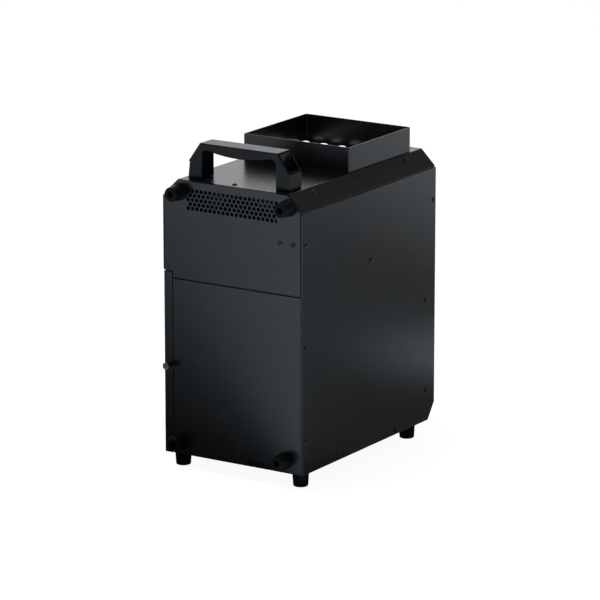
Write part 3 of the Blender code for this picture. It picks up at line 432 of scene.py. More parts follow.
def block(low, high, bevel=0.0005, segments=2):
    shape = bmesh.new()
    bmesh.ops.create_cube(shape, size=1)
    size = Vector(high) - Vector(low)
    bmesh.ops.scale(shape, vec=size, verts=shape.verts)
    bmesh.ops.translate(shape, vec=Vector(low) + size / 2, verts=shape.verts)
    if bevel:
        bmesh.ops.bevel(shape, geom=shape.edges[:], offset=bevel, segments=segments, profile=0.5,
                        affect="EDGES")
    mesh = bpy.data.meshes.new("block")
    shape.to_mesh(mesh)
    shape.free()
    return mesh


def rod(start, end, radius, sides=20, edge=0.0003):
    """A cylinder between two points, with rounded rims."""
    along = Vector(end) - Vector(start)
    length = along.length
    profile = [(0, length), (radius - edge, length), (radius, length - edge), (radius, edge),
               (radius - edge, 0), (0, 0)]
    mesh = lathe(profile, sides)
    mesh.transform(Matrix.Translation(start) @ along.to_track_quat("Z", "Y").to_matrix().to_4x4())
    return mesh


def moved(mesh, where=(0, 0, 0), turn=None):
    copy = mesh.copy()
    copy.transform(Matrix.Translation(where) @ (turn or Matrix()))
    return copy


def joined(meshes):
    shape = bmesh.new()
    for mesh in meshes:
        shape.from_mesh(mesh)
    result = bpy.data.meshes.new("joined")
    shape.to_mesh(result)
    shape.free()
    return result


def placed(name, data):
    """A new object in the scene."""
    obj = bpy.data.objects.new(name, data)
    bpy.context.scene.collection.objects.link(obj)
    return obj


def evaluated(obj):
    graph = bpy.context.evaluated_depsgraph_get()
    mesh = bpy.data.meshes.new_from_object(obj.evaluated_get(graph))
    bpy.data.objects.remove(obj, do_unlink=True)
    return mesh


def carved(mesh, cutters, edge=0.0):
    """The mesh less its cutters, with the remaining sharp edges rounded if asked."""
    obj = placed("stock", mesh)
    tools = []
    for cutter in cutters:
        tool = placed("tool", cutter)
        tools.append(tool)
        step = obj.modifiers.new("cut", "BOOLEAN")
        step.operation = "DIFFERENCE"
        step.solver = "EXACT"
        step.object = tool
    if edge:
        round_off = obj.modifiers.new("edges", "BEVEL")
        round_off.width = edge
        round_off.segments = 2
        round_off.limit_method = "ANGLE"
        round_off.angle_limit = math.radians(35)
    result = evaluated(obj)
    for tool in tools:
        bpy.data.objects.remove(tool, do_unlink=True)
    return result


# -------- pieces
def piece(name, mesh, material, body="case", replaces=(), angle=38, weighted=True):
    """A shown piece: a mesh in the case's frame, riding on a body."""
    mesh = mesh.copy() if mesh.users else mesh
    mesh.name = name
    mesh.transform(Matrix.Translation(BODY))
    mesh.materials.clear()
    mesh.materials.append(material)
    mesh.shade_smooth()
    mesh.set_sharp_from_angle(angle=math.radians(angle))
    obj = placed(name, mesh)
    if weighted:
        normals = obj.modifiers.new("normals", "WEIGHTED_NORMAL")
        normals.keep_sharp = True
    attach(obj, body)
    if replaces:
        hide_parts(*replaces)
    return obj


def dress(node, material):
    """A CAD node that stays, with its finish."""
    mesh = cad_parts[node].data
    mesh.materials.clear()
    mesh.materials.append(material)


# -------- screws
SIDE_SCREWS = ((0.011, 0.354), (0.011, 0.196), (0.011, 0.050), (0.196, 0.2935), (0.379, 0.353),
               (0.3585, 0.196), (0.3585, 0.051), (0.1007, 0.007), (0.270, 0.007))
BEND_SCREWS = (0.0624, 0.195, 0.3278)
BEND_SCREW_X = 0.1052
BEND_SCREW_Z = HEIGHT - (BEND_SCREW_X - (HALF - BEND))
REAR_SCREWS = ((0.0852, 0.3557), (0.1096, 0.3557))
TOP_SCREW = (-0.005, 0.0152)


def button_head():
    """Domed screw head with a hexagon socket, its underside just in the sheet."""
    radius, low = 0.0038, -0.0002
    head = lathe(dome(radius, 0.0004, 0.0016) + [(radius, low), (0, low)], 24)
    socket = lathe([(0, 0.004), (0.0014, 0.004), (0.0014, 0.0006), (0, 0.0006)], 6)
    return carved(head, [socket])


HEAD = button_head()


def add_screws(prefix, places):
    for number, (where, turn) in enumerate(places, 1):
        spin = Matrix.Rotation(RNG.uniform(0, math.pi / 3), 4, "Z")
        piece(f"{prefix}_screw_{number}", moved(HEAD, where, turn @ spin), DARK_STEEL,
              weighted=False)


# -------- body sheets
def make_tray():
    front_lip = SLOPE_HEIGHT + 0.012
    path = bent([(0, SEAM_HEIGHT), (0, 0), (DEPTH - SLOPE_DEPTH, 0), (DEPTH, SLOPE_HEIGHT),
                 (DEPTH, front_lip)], SHEET_BEND)
    sheet = moved(plate([thickened(path, SHEET)], 2 * PANEL_HALF, 0.0003), turn=SIDEWAYS)
    edge = -HALF + DOOR_FLANGE + SEAM
    flange_space = block((-HALF - 0.001, -0.002, DOOR_BOTTOM - SEAM), (edge, 0.004, DOOR_TOP), 0)
    first_slot, slot_pitch, half_width, slot_top = 0.0281, 0.0054, 0.001, 0.0115
    slots = []
    for i in range(9):
        x = first_slot + slot_pitch * i
        slots.append(block((x - half_width, -0.002, -0.002), (x + half_width, 0.009, slot_top), 0.0006, 2))
    piece("tray", carved(sheet, [flange_space, joined(slots)]), COAT, replaces=["chassis_tray"])


def intake_holes():
    pitch, lowest, radius = 0.0079, 0.3887, 0.0029
    rows, per_row, sides = 5, 21, 18
    holes = []
    for row in range(rows):
        count = per_row - row % 2
        z = lowest + row * pitch * math.sqrt(3) / 2
        for i in range(count):
            start = 7 * i + 31 * row
            x = (i - (count - 1) / 2) * pitch
            holes.append(arc((x, z), radius, start, start + 360 - 360 / sides, sides - 1))
    return holes


def make_rear_panel():
    top = HEIGHT - (PANEL_HALF - (HALF - BEND))
    low, notch = SEAM_HEIGHT + WIDE_SEAM, -HALF + DOOR_FLANGE + SEAM
    edge, crown = PANEL_HALF - 0.0007, HEIGHT - 0.0008
    outline = [(-PANEL_HALF, DOOR_TOP + SEAM), (notch, DOOR_TOP + SEAM), (notch, low), (edge, low),
               (edge, top), (HALF - BEND, crown), (-HALF + BEND, crown), (-PANEL_HALF, top)]
    outline = with_corners(outline, (0.0005, 0.002, 0.0008, 0.0008, 0.002, 0.002, 0.002, 0.002), 3)
    sheet = moved(plate([outline] + intake_holes(), SHEET, 0.0003), (0, SHEET / 2, 0), UPRIGHT)
    piece("upper_rear_panel", sheet, COAT, replaces=["rear_panel_upper"])
    add_screws("rear", [((x, 0, z), TO_REAR) for x, z in REAR_SCREWS])


def make_top():
    corner = HEIGHT - (INNER - (HALF - BEND))
    skirt = 0.392
    path = bent([(INNER, skirt), (INNER, corner), (HALF - BEND, HEIGHT), (-HALF + BEND, HEIGHT),
                 (-INNER, corner), (-INNER, skirt)], 0.002)
    low, high = SHEET + 0.001, DEPTH - SHEET - 0.001
    sheet = moved(plate([thickened(path, SHEET)], high - low, 0.0003), (0, (low + high) / 2, 0), UPRIGHT)
    opening = rounded((-CHUTE_HALF - 0.0005, CHUTE_MIDDLE - CHUTE_REACH - 0.0005),
                      (CHUTE_HALF + 0.0005, CHUTE_MIDDLE + CHUTE_REACH + 0.0005), 0.0045)
    piece("top_cover", carved(sheet, [moved(plate([opening], 0.012, 0.0001), (0, 0, HEIGHT))]), COAT,
          replaces=["top_plate"])
    screws = [((*TOP_SCREW, HEIGHT), Matrix())]
    for side in (-1, 1):
        lean = Matrix.Rotation(math.radians(45 * side), 4, "Y")
        screws += [((side * BEND_SCREW_X, y, BEND_SCREW_Z), lean) for y in BEND_SCREWS]
    add_screws("top", screws)


def make_side_covers():
    top = HEIGHT - BEND
    front = [(DEPTH - SLOPE_DEPTH, 0), (DEPTH, SLOPE_HEIGHT), (DEPTH, top), (0, top)]
    full = [(0, 0)] + front
    edge = HINGE_Y + HINGE_ROOM
    stepped = [(edge, 0)] + front + [(0, DOOR_TOP + 0.002), (edge, DOOR_TOP + 0.002)]
    for name, side, outline, node in (("right_cover", 1, full, "side_cover_right"),
                                      ("left_cover", -1, stepped, "side_cover_left")):
        outline = with_corners(outline, [0.0012] * len(outline), 3)
        sheet = moved(plate([outline], SHEET, 0.0004), (side * (HALF - SHEET / 2), 0, 0), SIDEWAYS)
        piece(name, sheet, COAT, replaces=[node])
        turn = TO_RIGHT if side > 0 else TO_LEFT
        add_screws(name, [((side * HALF, y, z), turn) for y, z in SIDE_SCREWS
                          if side > 0 or y > HINGE_Y or z > DOOR_TOP])


# -------- access door
THUMB = Vector((-0.1103, 0, 0.141))
WASHER_GAP = 0.0010


def make_door():
    path = bent([(-HALF, HINGE_Y - HINGE_ROOM), (-HALF, 0), (-HALF + DOOR_FLANGE, 0)], SHEET_BEND)
    middle = (DOOR_BOTTOM + DOOR_TOP) / 2
    sheet = moved(plate([thickened(path, SHEET)], DOOR_TOP - DOOR_BOTTOM, 0.0004), (0, 0, middle))
    over, room = 0.001, 0.0027
    corner = (-HALF + DOOR_FLANGE - DOOR_CORNER, DOOR_TOP - DOOR_CORNER)
    outer = -HALF + DOOR_FLANGE + over
    round_off = arc(corner, DOOR_CORNER, 90, 0, 8)
    round_off += [(outer, corner[1]), (outer, DOOR_TOP + over), (corner[0], DOOR_TOP + over)]
    notch = arc((THUMB.x, THUMB.z), room, 90, 270, 10) + [(outer, THUMB.z - room), (outer, THUMB.z + room)]
    cutters = [moved(plate([loop], 0.008, 0.0001), (0, 0.001, 0), UPRIGHT) for loop in (round_off, notch)]
    piece("fluid_door", carved(sheet, cutters), COAT, body="door", replaces=["access_door"])
    start, end, inner_face = 0.027, 0.190, -HALF + 0.0016
    hem = block((inner_face, start, DOOR_TOP - 0.0090), (-HALF + 0.0034, end, DOOR_TOP - 0.0004), 0.0004)
    lip = block((inner_face, start, DOOR_TOP - THIN), (-HALF + 0.011, end, DOOR_TOP - 0.0001), 0.0004)
    piece("door_hem", joined([hem, lip]), COAT, body="door")
    middle, spacing, half_width = 0.105, 0.075, 0.003
    for side in (-1, 1):
        y = middle + side * spacing
        seal = block((-HALF + SHEET + 0.0001, y - half_width, 0.020),
                     (-HALF + SHEET + 0.0030, y + half_width, 0.270), 0.0008)
        piece(f"door_seal_{'rear' if side < 0 else 'front'}", seal, RUBBER, body="door")


def make_thumbscrew():
    """Knurled knob with a slotted face on a thinner collar, and the washer behind it."""
    outer, inner, knob, ridges = 0.0180, WASHER_GAP + 0.0013, 0.0065, 28
    loop = toothed(knob, knob - 0.0005, ridges, (0.0, 0.25, 0.5, 0.75))
    low, high = outer - 0.0050, outer - 0.0003
    grip = moved(plate([loop], high - low, 0.0005), (0, 0, (low + high) / 2))
    face = lathe([(0, outer - 0.0009), (0.0036, outer - 0.0009), (0.0040, outer - 0.0002), (0.0044, outer),
                  (0.0055, outer), (0.0058, outer - 0.0004), (0.0058, outer - 0.0020),
                  (0, outer - 0.0020)], 48)
    slot = block((-0.0070, -0.0006, outer - 0.0017), (0.0070, 0.0006, outer + 0.0010), 0)
    collar = lathe([(0, outer - 0.0048), (0.0047, outer - 0.0048), (0.0047, outer - 0.0056),
                    (0.0040, outer - 0.0062), (0.0038, inner + 0.0034), (0.0040, inner + 0.0028),
                    (0.0040, inner + 0.0003), (0.0037, inner), (0, inner)], 40)
    shank = rod((0, 0, -0.0088), (0, 0, inner + 0.001), 0.0019, 20)
    knob = joined([carved(grip, [slot]), collar, shank])
    piece("thumbscrew_grip", moved(knob, THUMB, TO_REAR), BLACK_STEEL, body="thumbscrew",
          replaces=["door_thumbscrew"], angle=30)
    piece("thumbscrew_crown", moved(carved(face, [slot]), THUMB, TO_REAR), KNURL, body="thumbscrew")
    washer = lathe([(0.0050, 0.001), (0.0052, 0.0008), (0.0052, 0.0002), (0.0050, 0), (0.0024, 0),
                    (0.0024, 0.001)], 40, ring=True)
    washer = moved(washer, (0, 0, WASHER_GAP))
    piece("thumbscrew_ring", moved(washer, THUMB, TO_REAR), BLACK_STEEL, body="thumbscrew_carrier",
          replaces=["thumbscrew_washer"])


# -------- chute and lights
def chute_ring(shrink, radius=0.0030):
    x, y = CHUTE_HALF - shrink, CHUTE_REACH - shrink
    return rounded((-x, CHUTE_MIDDLE - y), (x, CHUTE_MIDDLE + y), max(0.0008, radius - shrink), 5)


def lens_places():
    """Around the nozzle: the rim of a grid of six by six."""
    count, column_pitch, row_pitch = 6, 0.0336, 0.0272
    columns = [(i - (count - 1) / 2) * column_pitch for i in range(count)]
    rows = [CHUTE_MIDDLE + (i - (count - 1) / 2) * row_pitch for i in range(count)]
    places = [(x, y) for x in columns for y in (rows[0], rows[-1])]
    return places + [(x, y) for x in (columns[0], columns[-1]) for y in rows[1:-1]]


def make_chute():
    height = CHUTE_RISE + 0.030
    middle = HEIGHT + CHUTE_RISE - height / 2
    collar = moved(plate([chute_ring(0), chute_ring(SHEET)], height, 0.0004), (0, 0, middle))
    piece("chute", collar, COAT, replaces=["chute_collar"])
    hole = circle((0, CHUTE_MIDDLE), 0.024, 48)
    thick = 0.0016
    board = plate([chute_ring(SHEET + 0.0004, 0.0022), hole], thick, 0.0002)
    board = moved(board, (0, 0, BOARD_TOP - thick / 2))
    piece("light_board", board, BOARD, replaces=["led_board"])
    holder = lathe([(0.0095, 0.0004), (0.0095, 0.0030), (0.0093, 0.0033), (0.0086, 0.0033), (0.0084, 0.0028),
                    (0.0084, 0.0004)], 36, ring=True)
    radius = 0.0083
    lens = lathe(dome(radius, 0.0024, 0.0038) + [(radius, 0.0006), (0, 0.0006)], 36)
    for number, (x, y) in enumerate(lens_places(), 1):
        where = (x, y, BOARD_TOP)
        piece(f"led_holder_{number}", moved(holder, where), GLOSS)
        piece(f"led_lens_{number}", moved(lens, where), LIT,
              replaces=["led_lens_array"] if number == 1 else ())
    parts = []
    chips = ((-0.0032, 0.0032, 0.0016, 0.0012), (0.0060, 0.0080, 0.0010, 0.0008))
    for x, y in ((-0.030, -0.052), (0.030, -0.052), (-0.030, 0.052), (0.030, 0.052), (-0.060, 0), (0.060, 0)):
        y += CHUTE_MIDDLE
        for low, high, half_width, thick in chips:
            parts.append(block((x + low, y - half_width, BOARD_TOP),
                               (x + high, y + half_width, BOARD_TOP + thick), 0.0002))
    piece("light_board_chips", joined(parts), GLOSS)
    make_nozzle()


def make_nozzle():
    """Hexagonal base with a grooved stem that ends in a small bored cone."""
    low, tall = 0.3703, 0.0145
    base = moved(plate([circle((0, 0), 0.0135, 6)], tall, 0.0008), (0, CHUTE_MIDDLE, low + tall / 2))
    bore = [(0, 0.4345), (0.0009, 0.4345), (0.0010, 0.4368)]
    cone = [(0.0022, 0.4369), (0.0030, 0.4358), (0.0038, 0.4335), (0.0058, 0.4290), (0.0060, 0.4280)]
    groove = [(0.0060, 0.4140), (0.0052, 0.4132), (0.0052, 0.4120), (0.0060, 0.4112)]
    stem = lathe(bore + cone + groove + [(0.0060, 0.3840), (0, 0.3840)], 40)
    nozzle = joined([base, moved(stem, (0, CHUTE_MIDDLE, 0))])
    piece("nozzle", nozzle, BRASS, replaces=["fog_nozzle"])


# -------- handle
HANDLE_HALF = 0.091
HANDLE_REAR = 0.018
HANDLE_DEPTH = 0.034
HANDLE_RISE = 0.0555
HANDLE_SCREW_X = 0.080
HANDLE_MIDDLE = HANDLE_REAR + HANDLE_DEPTH / 2


def handle_outline():
    """Bridge with sloped ends and a bowed underside over the finger gap."""
    inner, under_end, under_middle, radius, steps = 0.0662, 0.0445, 0.0382, 0.008, 20
    shoulder, crown_half = 0.025, 0.0695
    points = [(-HANDLE_HALF, 0), (HANDLE_HALF, 0), (HANDLE_HALF, shoulder), (crown_half, HANDLE_RISE),
              (-crown_half, HANDLE_RISE), (-HANDLE_HALF, shoulder)]
    outer = with_corners(points[1:], (0.0004, 0.0016, 0.0016, 0.0016, 0.0016), 4)
    left = [(-HANDLE_HALF, 0), (-inner, 0)] + arc((-inner + radius, under_end - radius), radius, 180, 90, 8)
    reach, sag = inner - radius, under_end - under_middle
    bow = [(-reach + 2 * reach * i / steps, under_end - sag * math.sin(math.pi * i / steps))
           for i in range(1, steps)]
    right = arc((inner - radius, under_end - radius), radius, 90, 0, 8) + [(inner, 0)]
    return outer + left + bow + right


def make_handle():
    wall = 0.0032
    bridge = plate([handle_outline()], HANDLE_DEPTH, 0.0015, 4)
    bridge = moved(bridge, (0, HANDLE_MIDDLE, HEIGHT + GAP), UPRIGHT)
    rear, front = HANDLE_REAR + wall, HANDLE_REAR + HANDLE_DEPTH - wall
    pocket_half, overlap, lowest, pitch, thick = 0.0085, 0.0004, HEIGHT + 0.0200, 0.0062, 0.0012
    pockets, ribs = [], []
    for x in (-HANDLE_SCREW_X, HANDLE_SCREW_X):
        pockets.append(block((x - pocket_half, rear, HEIGHT + 0.008),
                             (x + pocket_half, front, HEIGHT + 0.070), 0.0012, 3))
        inner_side = -1 if x > 0 else 1
        for level in range(5):
            z = lowest + pitch * level
            reach = x + inner_side * (pocket_half + 0.0003)
            edge = x - inner_side * (0.0036 - 0.0030 * level)
            ribs.append(block((min(reach, edge), rear - overlap, z),
                              (max(reach, edge), front + overlap, z + thick), 0.0003))
    handle = carved(bridge, [joined(pockets)])
    piece("carrying_handle", handle, PLASTIC, replaces=["handle"], angle=32)
    piece("handle_pocket_ribs", joined(ribs), PLASTIC)
    head = lathe([(0, 0.0132), (0.0038, 0.0132), (0.0043, 0.0127), (0.0043, 0.0095), (0, 0.0095)], 32)
    socket = lathe([(0, 0.015), (0.0023, 0.015), (0.0023, 0.0108), (0, 0.0108)], 6)
    washer = lathe([(0.0055, 0.0094), (0.0055, 0.0083), (0.0027, 0.0083), (0.0027, 0.0094)], 32, ring=True)
    shank = lathe([(0, 0.0096), (0.0025, 0.0096), (0.0025, -0.006), (0, -0.006)], 16)
    screw = joined([carved(head, [socket]), shank])
    for name, x in (("left", -HANDLE_SCREW_X), ("right", HANDLE_SCREW_X)):
        where = (x, HANDLE_MIDDLE, HEIGHT)
        piece(f"handle_bolt_{name}", moved(screw, where), BLACK_STEEL,
              replaces=[f"handle_screw_{name}"])
        piece(f"handle_bolt_washer_{name}", moved(washer, where), ZINC)


# -------- feet
FOOT_X = 0.107
FOOT_Y = {"rear": 0.024, "front": 0.333}
REAR_FEET = (("lower_left", -0.0943, 0.0205), ("upper_left", -0.0955, 0.4117),
             ("lower_right", 0.0945, 0.0205), ("upper_right", 0.1005, 0.4115))


def crossed_slots(reach, half_width, low, high):
    return [block((-x, -y, low), (x, y, high), 0) for x, y in ((reach, half_width), (half_width, reach))]


def foot_profile(length, base, tip):
    well, hole, seat, round_tip = 0.0048, 0.0026, 0.007, 0.0022
    profile = [(hole, -GAP), (base - 0.0003, -GAP), (base, -0.0007), (base - 0.0003, -0.0030)]
    profile += arc((tip - round_tip, -length + round_tip), round_tip, 0, -90, 6)
    profile += [(well + 0.0004, -length), (well, -length + 0.0004), (well, -seat), (hole, -seat)]
    return profile


def make_feet():
    under = lathe(foot_profile(FOOT_HEIGHT, 0.0130, 0.0116), 40, ring=True)
    rear = lathe(foot_profile(BACK_FOOT, 0.0132, 0.0110), 40, ring=True)
    head = lathe([(0, -0.0071), (0.0042, -0.0071), (0.0042, -0.0076), (0.0038, -0.0084), (0.0020, -0.0092),
                  (0, -0.0092)], 28)
    screw = carved(head, crossed_slots(0.0026, 0.0005, -0.0110, -0.0083))
    for side, x in (("left", -FOOT_X), ("right", FOOT_X)):
        for end, y in FOOT_Y.items():
            spin = Matrix.Rotation(RNG.uniform(0, math.pi), 4, "Z")
            piece(f"foot_{end}_{side}", moved(under, (x, y, 0)), RUBBER,
                  replaces=[f"bottom_foot_{end}_{side}"])
            piece(f"foot_screw_{end}_{side}", moved(screw, (x, y, 0), spin), BLACK_STEEL)
    for place, x, z in REAR_FEET:
        spin = Matrix.Rotation(RNG.uniform(0, math.pi), 4, "Y")
        piece(f"rear_foot_{place}", moved(rear, (x, 0, z), TO_FRONT), RUBBER,
              replaces=[f"back_foot_{place}"])
        piece(f"rear_foot_screw_{place}", moved(moved(screw, turn=TO_FRONT), (x, 0, z), spin), BLACK_STEEL)


# -------- control face
BUTTON_HEIGHT, SOCKET_HEIGHT, POWER_HEIGHT = 0.335, 0.240, 0.110
BUTTONS = {"menu": 0.036, "down": 0.012, "up": -0.012, "enter": -0.036}
SOCKET_X = 0.030
INLET_X, FUSE_X, SWITCH_X = 0.055, 0.0, -0.050
FLANGE = 0.0025


def faceplate(loops, thickness, edge, where):
    """A plate lying on the front face, its outline upright in x and z."""
    x, z = where
    return moved(plate(loops, thickness, edge, 3), (x, FACE + thickness / 2, z), UPRIGHT)


def make_bottle_cap():
    ribs = plate([toothed(0.0260, 0.0253, 44), circle((0, 0), 0.0226, 48)], 0.0172, 0.0009, 3)
    crown = lathe([(0.0240, 0.0166), (0.0235, 0.0180), (0.0054, 0.0180), (0.0046, 0.0174), (0.0046, 0.0126),
                   (0.0240, 0.0126)], 48, ring=True)
    cap = joined([moved(ribs, (0, 0, 0.0086)), crown])
    piece("bottle_cap", moved(cap, CAP_PLACE), PLASTIC, body="cap",
          replaces=["container_cap"])


def make_menu_panel():
    half, low, high, room = 0.0350, 0.3520, 0.3750, 0.0004
    openings = [rounded((-half, low), (half, high), 0.0006, 2)]
    openings += [circle((x, BUTTON_HEIGHT), 0.0047, 32) for x in BUTTONS.values()]
    outline = rounded((-0.0620, 0.3180), (0.0620, 0.3920), 0.006)
    cover = faceplate([outline, *openings], PLATE_FACE - FACE, 0.0005, (0, 0))
    piece("menu_panel", cover, GLOSS, replaces=["control_plate"])
    window = rounded((-half + room, low + room), (half - room, high - room), 0.0008, 3)
    glass = faceplate([window], 0.0014, 0.0003, (0, 0))
    piece("display_glass", glass, DISPLAY, replaces=["display_window"])
    first, row_pitch, tall, space = (0.029, 0.3665), 0.0072, 0.0030, 0.0022
    bars = []
    for row, widths in enumerate(((0.009, 0.005, 0.012, 0.006, 0.008), (0.006, 0.011, 0.004, 0.009))):
        x, z = first[0], first[1] - row_pitch * row
        for width in widths:
            bars.append(block((x - width, FACE + 0.0013, z), (x, FACE + 0.0015, z + tall), 0))
            x -= width + space
    piece("display_bars", joined(bars), GLYPH)
    cap = lathe([(0, 0.0007), (0.0016, 0.0008), (0.0034, 0.0010), (0.0040, 0.0008), (0.0043, 0.0003),
                 (0.0044, -0.0004), (0.0044, -0.0085), (0, -0.0085)], 40)
    for name, x in BUTTONS.items():
        piece(f"{name}_key", moved(cap, (x, PLATE_FACE, BUTTON_HEIGHT), TO_FRONT), PLASTIC,
              body=f"{name}_button", replaces=[f"button_{name}"])
    size = 0.0016
    signs = {"menu": [(-size, -size), (size, -size), (size, size), (-size, size)],
             "down": [(-size, size), (0, -size), (size, size)],
             "up": [(-size, -size), (size, -size), (0, size)], "enter": circle((0, 0), size, 20)}
    marks = []
    for name, outline in signs.items():
        where = (BUTTONS[name], PLATE_FACE + 0.0001, BUTTON_HEIGHT - 0.0095)
        marks.append(moved(plate([outline], 0.0002, 0.00002, 1), where, UPRIGHT))
    piece("button_signs", joined(marks), MARK)


def flange_screws(prefix, where, places, out):
    """Small countersunk heads in a socket's flange."""
    head = lathe([(0, 0.0004), (0.0012, 0.0004), (0.0016, 0.0002), (0.0017, -0.0003), (0, -0.0003)], 20)
    head = carved(head, crossed_slots(0.0011, 0.0002, 0.0, 0.001))
    heads = [moved(head, (where[0] + x, out, where[1] + z), TO_FRONT) for x, z in places]
    piece(prefix + "_flange_screws", joined(heads), BLACK_STEEL)


def make_signal_sockets():
    """Two round sockets in oblong flanges: a deep one with a latch, and one with three holes and a tab."""
    outline = rounded((-0.0130, -0.0155), (0.0130, 0.0155), 0.003)
    inside, outside, back, floor = 0.0092, 0.0110, 0.3640, 0.3712
    hole_ring, hole_start, hole_end = 0.0048, 0.376, 0.392
    for name, x in (("signal_in", SOCKET_X), ("signal_out", -SOCKET_X)):
        where = (x, 0, SOCKET_HEIGHT)
        flange = faceplate([outline, circle((0, 0), inside, 48)], FLANGE, 0.0006, (x, SOCKET_HEIGHT))
        barrel = lathe([(inside, floor), (0, floor), (0, back), (outside, back), (outside, FACE + 0.0005),
                        (inside, FACE + 0.0020)], 48)
        parts = [flange, moved(barrel, where, TO_FRONT)]
        if name == "signal_in":
            parts.append(block((x - 0.0016, 0.3715, SOCKET_HEIGHT + 0.0078),
                               (x + 0.0016, FACE + 0.0012, SOCKET_HEIGHT + 0.0094), 0.0003))
        else:
            insert = rod((0, 0, 0.3705), (0, 0, FACE + 0.0012), inside + 0.0002, 48, 0.0006)
            holes = []
            for a in (math.radians(d) for d in (-30, -150, 90)):
                hole = (hole_ring * math.cos(a), hole_ring * math.sin(a))
                holes.append(rod((*hole, hole_start), (*hole, hole_end), 0.0016, 20, 0.0001))
            parts.append(moved(carved(insert, holes, 0.0002), where, TO_FRONT))
            parts.append(block((x - 0.0040, FACE + 0.0020, SOCKET_HEIGHT + 0.0100),
                               (x + 0.0040, FACE + 0.0034, SOCKET_HEIGHT + 0.0140), 0.0005))
        piece(f"{name}_shell", joined(parts), PLASTIC, replaces=[f"{name}_socket"])
        flange_screws(name, (x, SOCKET_HEIGHT), ((-0.0098, 0.0122), (0.0098, -0.0122)), FACE + FLANGE)


def make_inlet():
    """Flanged shroud around the contacts, its opening with two cut corners."""
    half, low, shoulder, top, top_half = 0.0121, -0.0082, 0.0035, 0.0082, 0.0085
    opening = with_corners([(-half, low), (half, low), (half, shoulder), (top_half, top), (-top_half, top),
                            (-half, shoulder)], (0.001,) * 6, 3)
    outline = rounded((-0.0245, -0.0140), (0.0245, 0.0140), 0.004)
    flange = faceplate([outline, opening], FLANGE, 0.0005, (INLET_X, POWER_HEIGHT))
    shell = moved(plate([rounded((-0.0135, -0.0100), (0.0135, 0.0100), 0.001, 2), opening], 0.0180, 0.0003),
                  (INLET_X, 0.3780, POWER_HEIGHT), UPRIGHT)
    floor = block((INLET_X - 0.0130, 0.3620, POWER_HEIGHT - 0.0095),
                  (INLET_X + 0.0130, 0.3710, POWER_HEIGHT + 0.0095))
    piece("power_inlet_shell", joined([flange, shell, floor]), PLASTIC,
          replaces=["power_inlet"])
    flange_screws("power_inlet", (INLET_X, POWER_HEIGHT), ((-0.0190, 0), (0.0190, 0)), FACE + FLANGE)


def make_fuse():
    """Round bezel with a slotted, ribbed cap."""
    bezel = lathe([(0.0071, 0.0005), (0.0071, 0.0018), (0.0078, 0.0020), (0.0084, 0.0017), (0.0085, 0.0010),
                   (0.0085, 0), (0.0062, 0), (0.0062, -0.0220), (0, -0.0220), (0, 0.0005)], 48)
    where = (FUSE_X, FACE, POWER_HEIGHT)
    piece("fuse_bezel", moved(bezel, where, TO_FRONT), PLASTIC,
          replaces=["fuse_holder"])
    top, tall = 0.0097, 0.0062
    grip = moved(plate([toothed(0.0067, 0.0063, 20)], tall, 0.0006), (0, 0, top - tall / 2))
    skirt = lathe([(0, 0.0045), (0.0066, 0.0045), (0.0070, 0.0035), (0.0070, 0.0023), (0, 0.0023)], 48)
    cap = carved(grip, [block((-0.0050, -0.0006, top - 0.0020), (0.0050, 0.0006, top + 0.001), 0)])
    piece("fuse_cap_grip", moved(joined([cap, skirt]), where, TO_FRONT), PLASTIC, body="fuse_cap_body",
          replaces=["fuse_cap"])


def make_switch():
    """Bezel and box around the rocker."""
    outer = rounded((-0.0125, -0.0165), (0.0125, 0.0165), 0.002)
    opening = rounded((-0.0075, -0.0128), (0.0075, 0.0128), 0.0006, 2)
    bezel = faceplate([outer, opening], 0.0020, 0.0007, (SWITCH_X, POWER_HEIGHT))
    box = moved(plate([rounded((-0.0095, -0.0140), (0.0095, 0.0140), 0.001, 2), opening], 0.0140, 0.0003),
                (SWITCH_X, 0.3800, POWER_HEIGHT), UPRIGHT)
    back = block((SWITCH_X - 0.0090, 0.3640, POWER_HEIGHT - 0.0135),
                 (SWITCH_X + 0.0090, 0.3738, POWER_HEIGHT + 0.0135))
    piece("switch_bezel", joined([bezel, box, back]), PLASTIC,
          replaces=["power_switch_frame"])


# -------- camera, light and floor
def aim(obj, target):
    obj.rotation_euler = (Vector(target) - obj.location).to_track_quat("-Z", "Y").to_euler()


CAMERA_PLACE = BODY + Vector((3.2895, -4.9398, 1.780))
CAMERA_TARGET = BODY + Vector((-0.0667, 0.2929, 0.1843))


def make_camera():
    lens = bpy.data.cameras.new("camera")
    lens.lens = 244.5
    lens.sensor_width = 36
    lens.clip_end = 100
    camera = placed("camera", lens)
    camera.location = CAMERA_PLACE
    aim(camera, CAMERA_TARGET)
    bpy.context.scene.camera = camera


def softbox(name, location, target, size, power):
    light = bpy.data.lights.new(name, "AREA")
    light.shape = "RECTANGLE"
    light.size, light.size_y = size
    light.energy = power
    obj = placed(name, light)
    obj.location = location
    aim(obj, target)


def ramp(tree, value, low, high):
    """0 below low and 1 above high, with soft ends."""
    node = add_node(tree, "MapRange", From_Min=low, From_Max=high)
    node.interpolation_type = "SMOOTHSTEP"
    link(tree, value, node.inputs["Value"])
    return node.outputs["Result"]


def along(tree, place, direction):
    node = add_node(tree, "VectorMath")
    node.operation = "DOT_PRODUCT"
    node.inputs[1].default_value = direction
    link(tree, place, node.inputs[0])
    return node.outputs["Value"]


def near(tree, place, centre, reach):
    """1 at the centre, falling softly to 0 at the reach."""
    node = add_node(tree, "VectorMath")
    node.operation = "DISTANCE"
    node.inputs[1].default_value = centre
    link(tree, place, node.inputs[0])
    return ramp(tree, node.outputs["Value"], reach, 0.0)


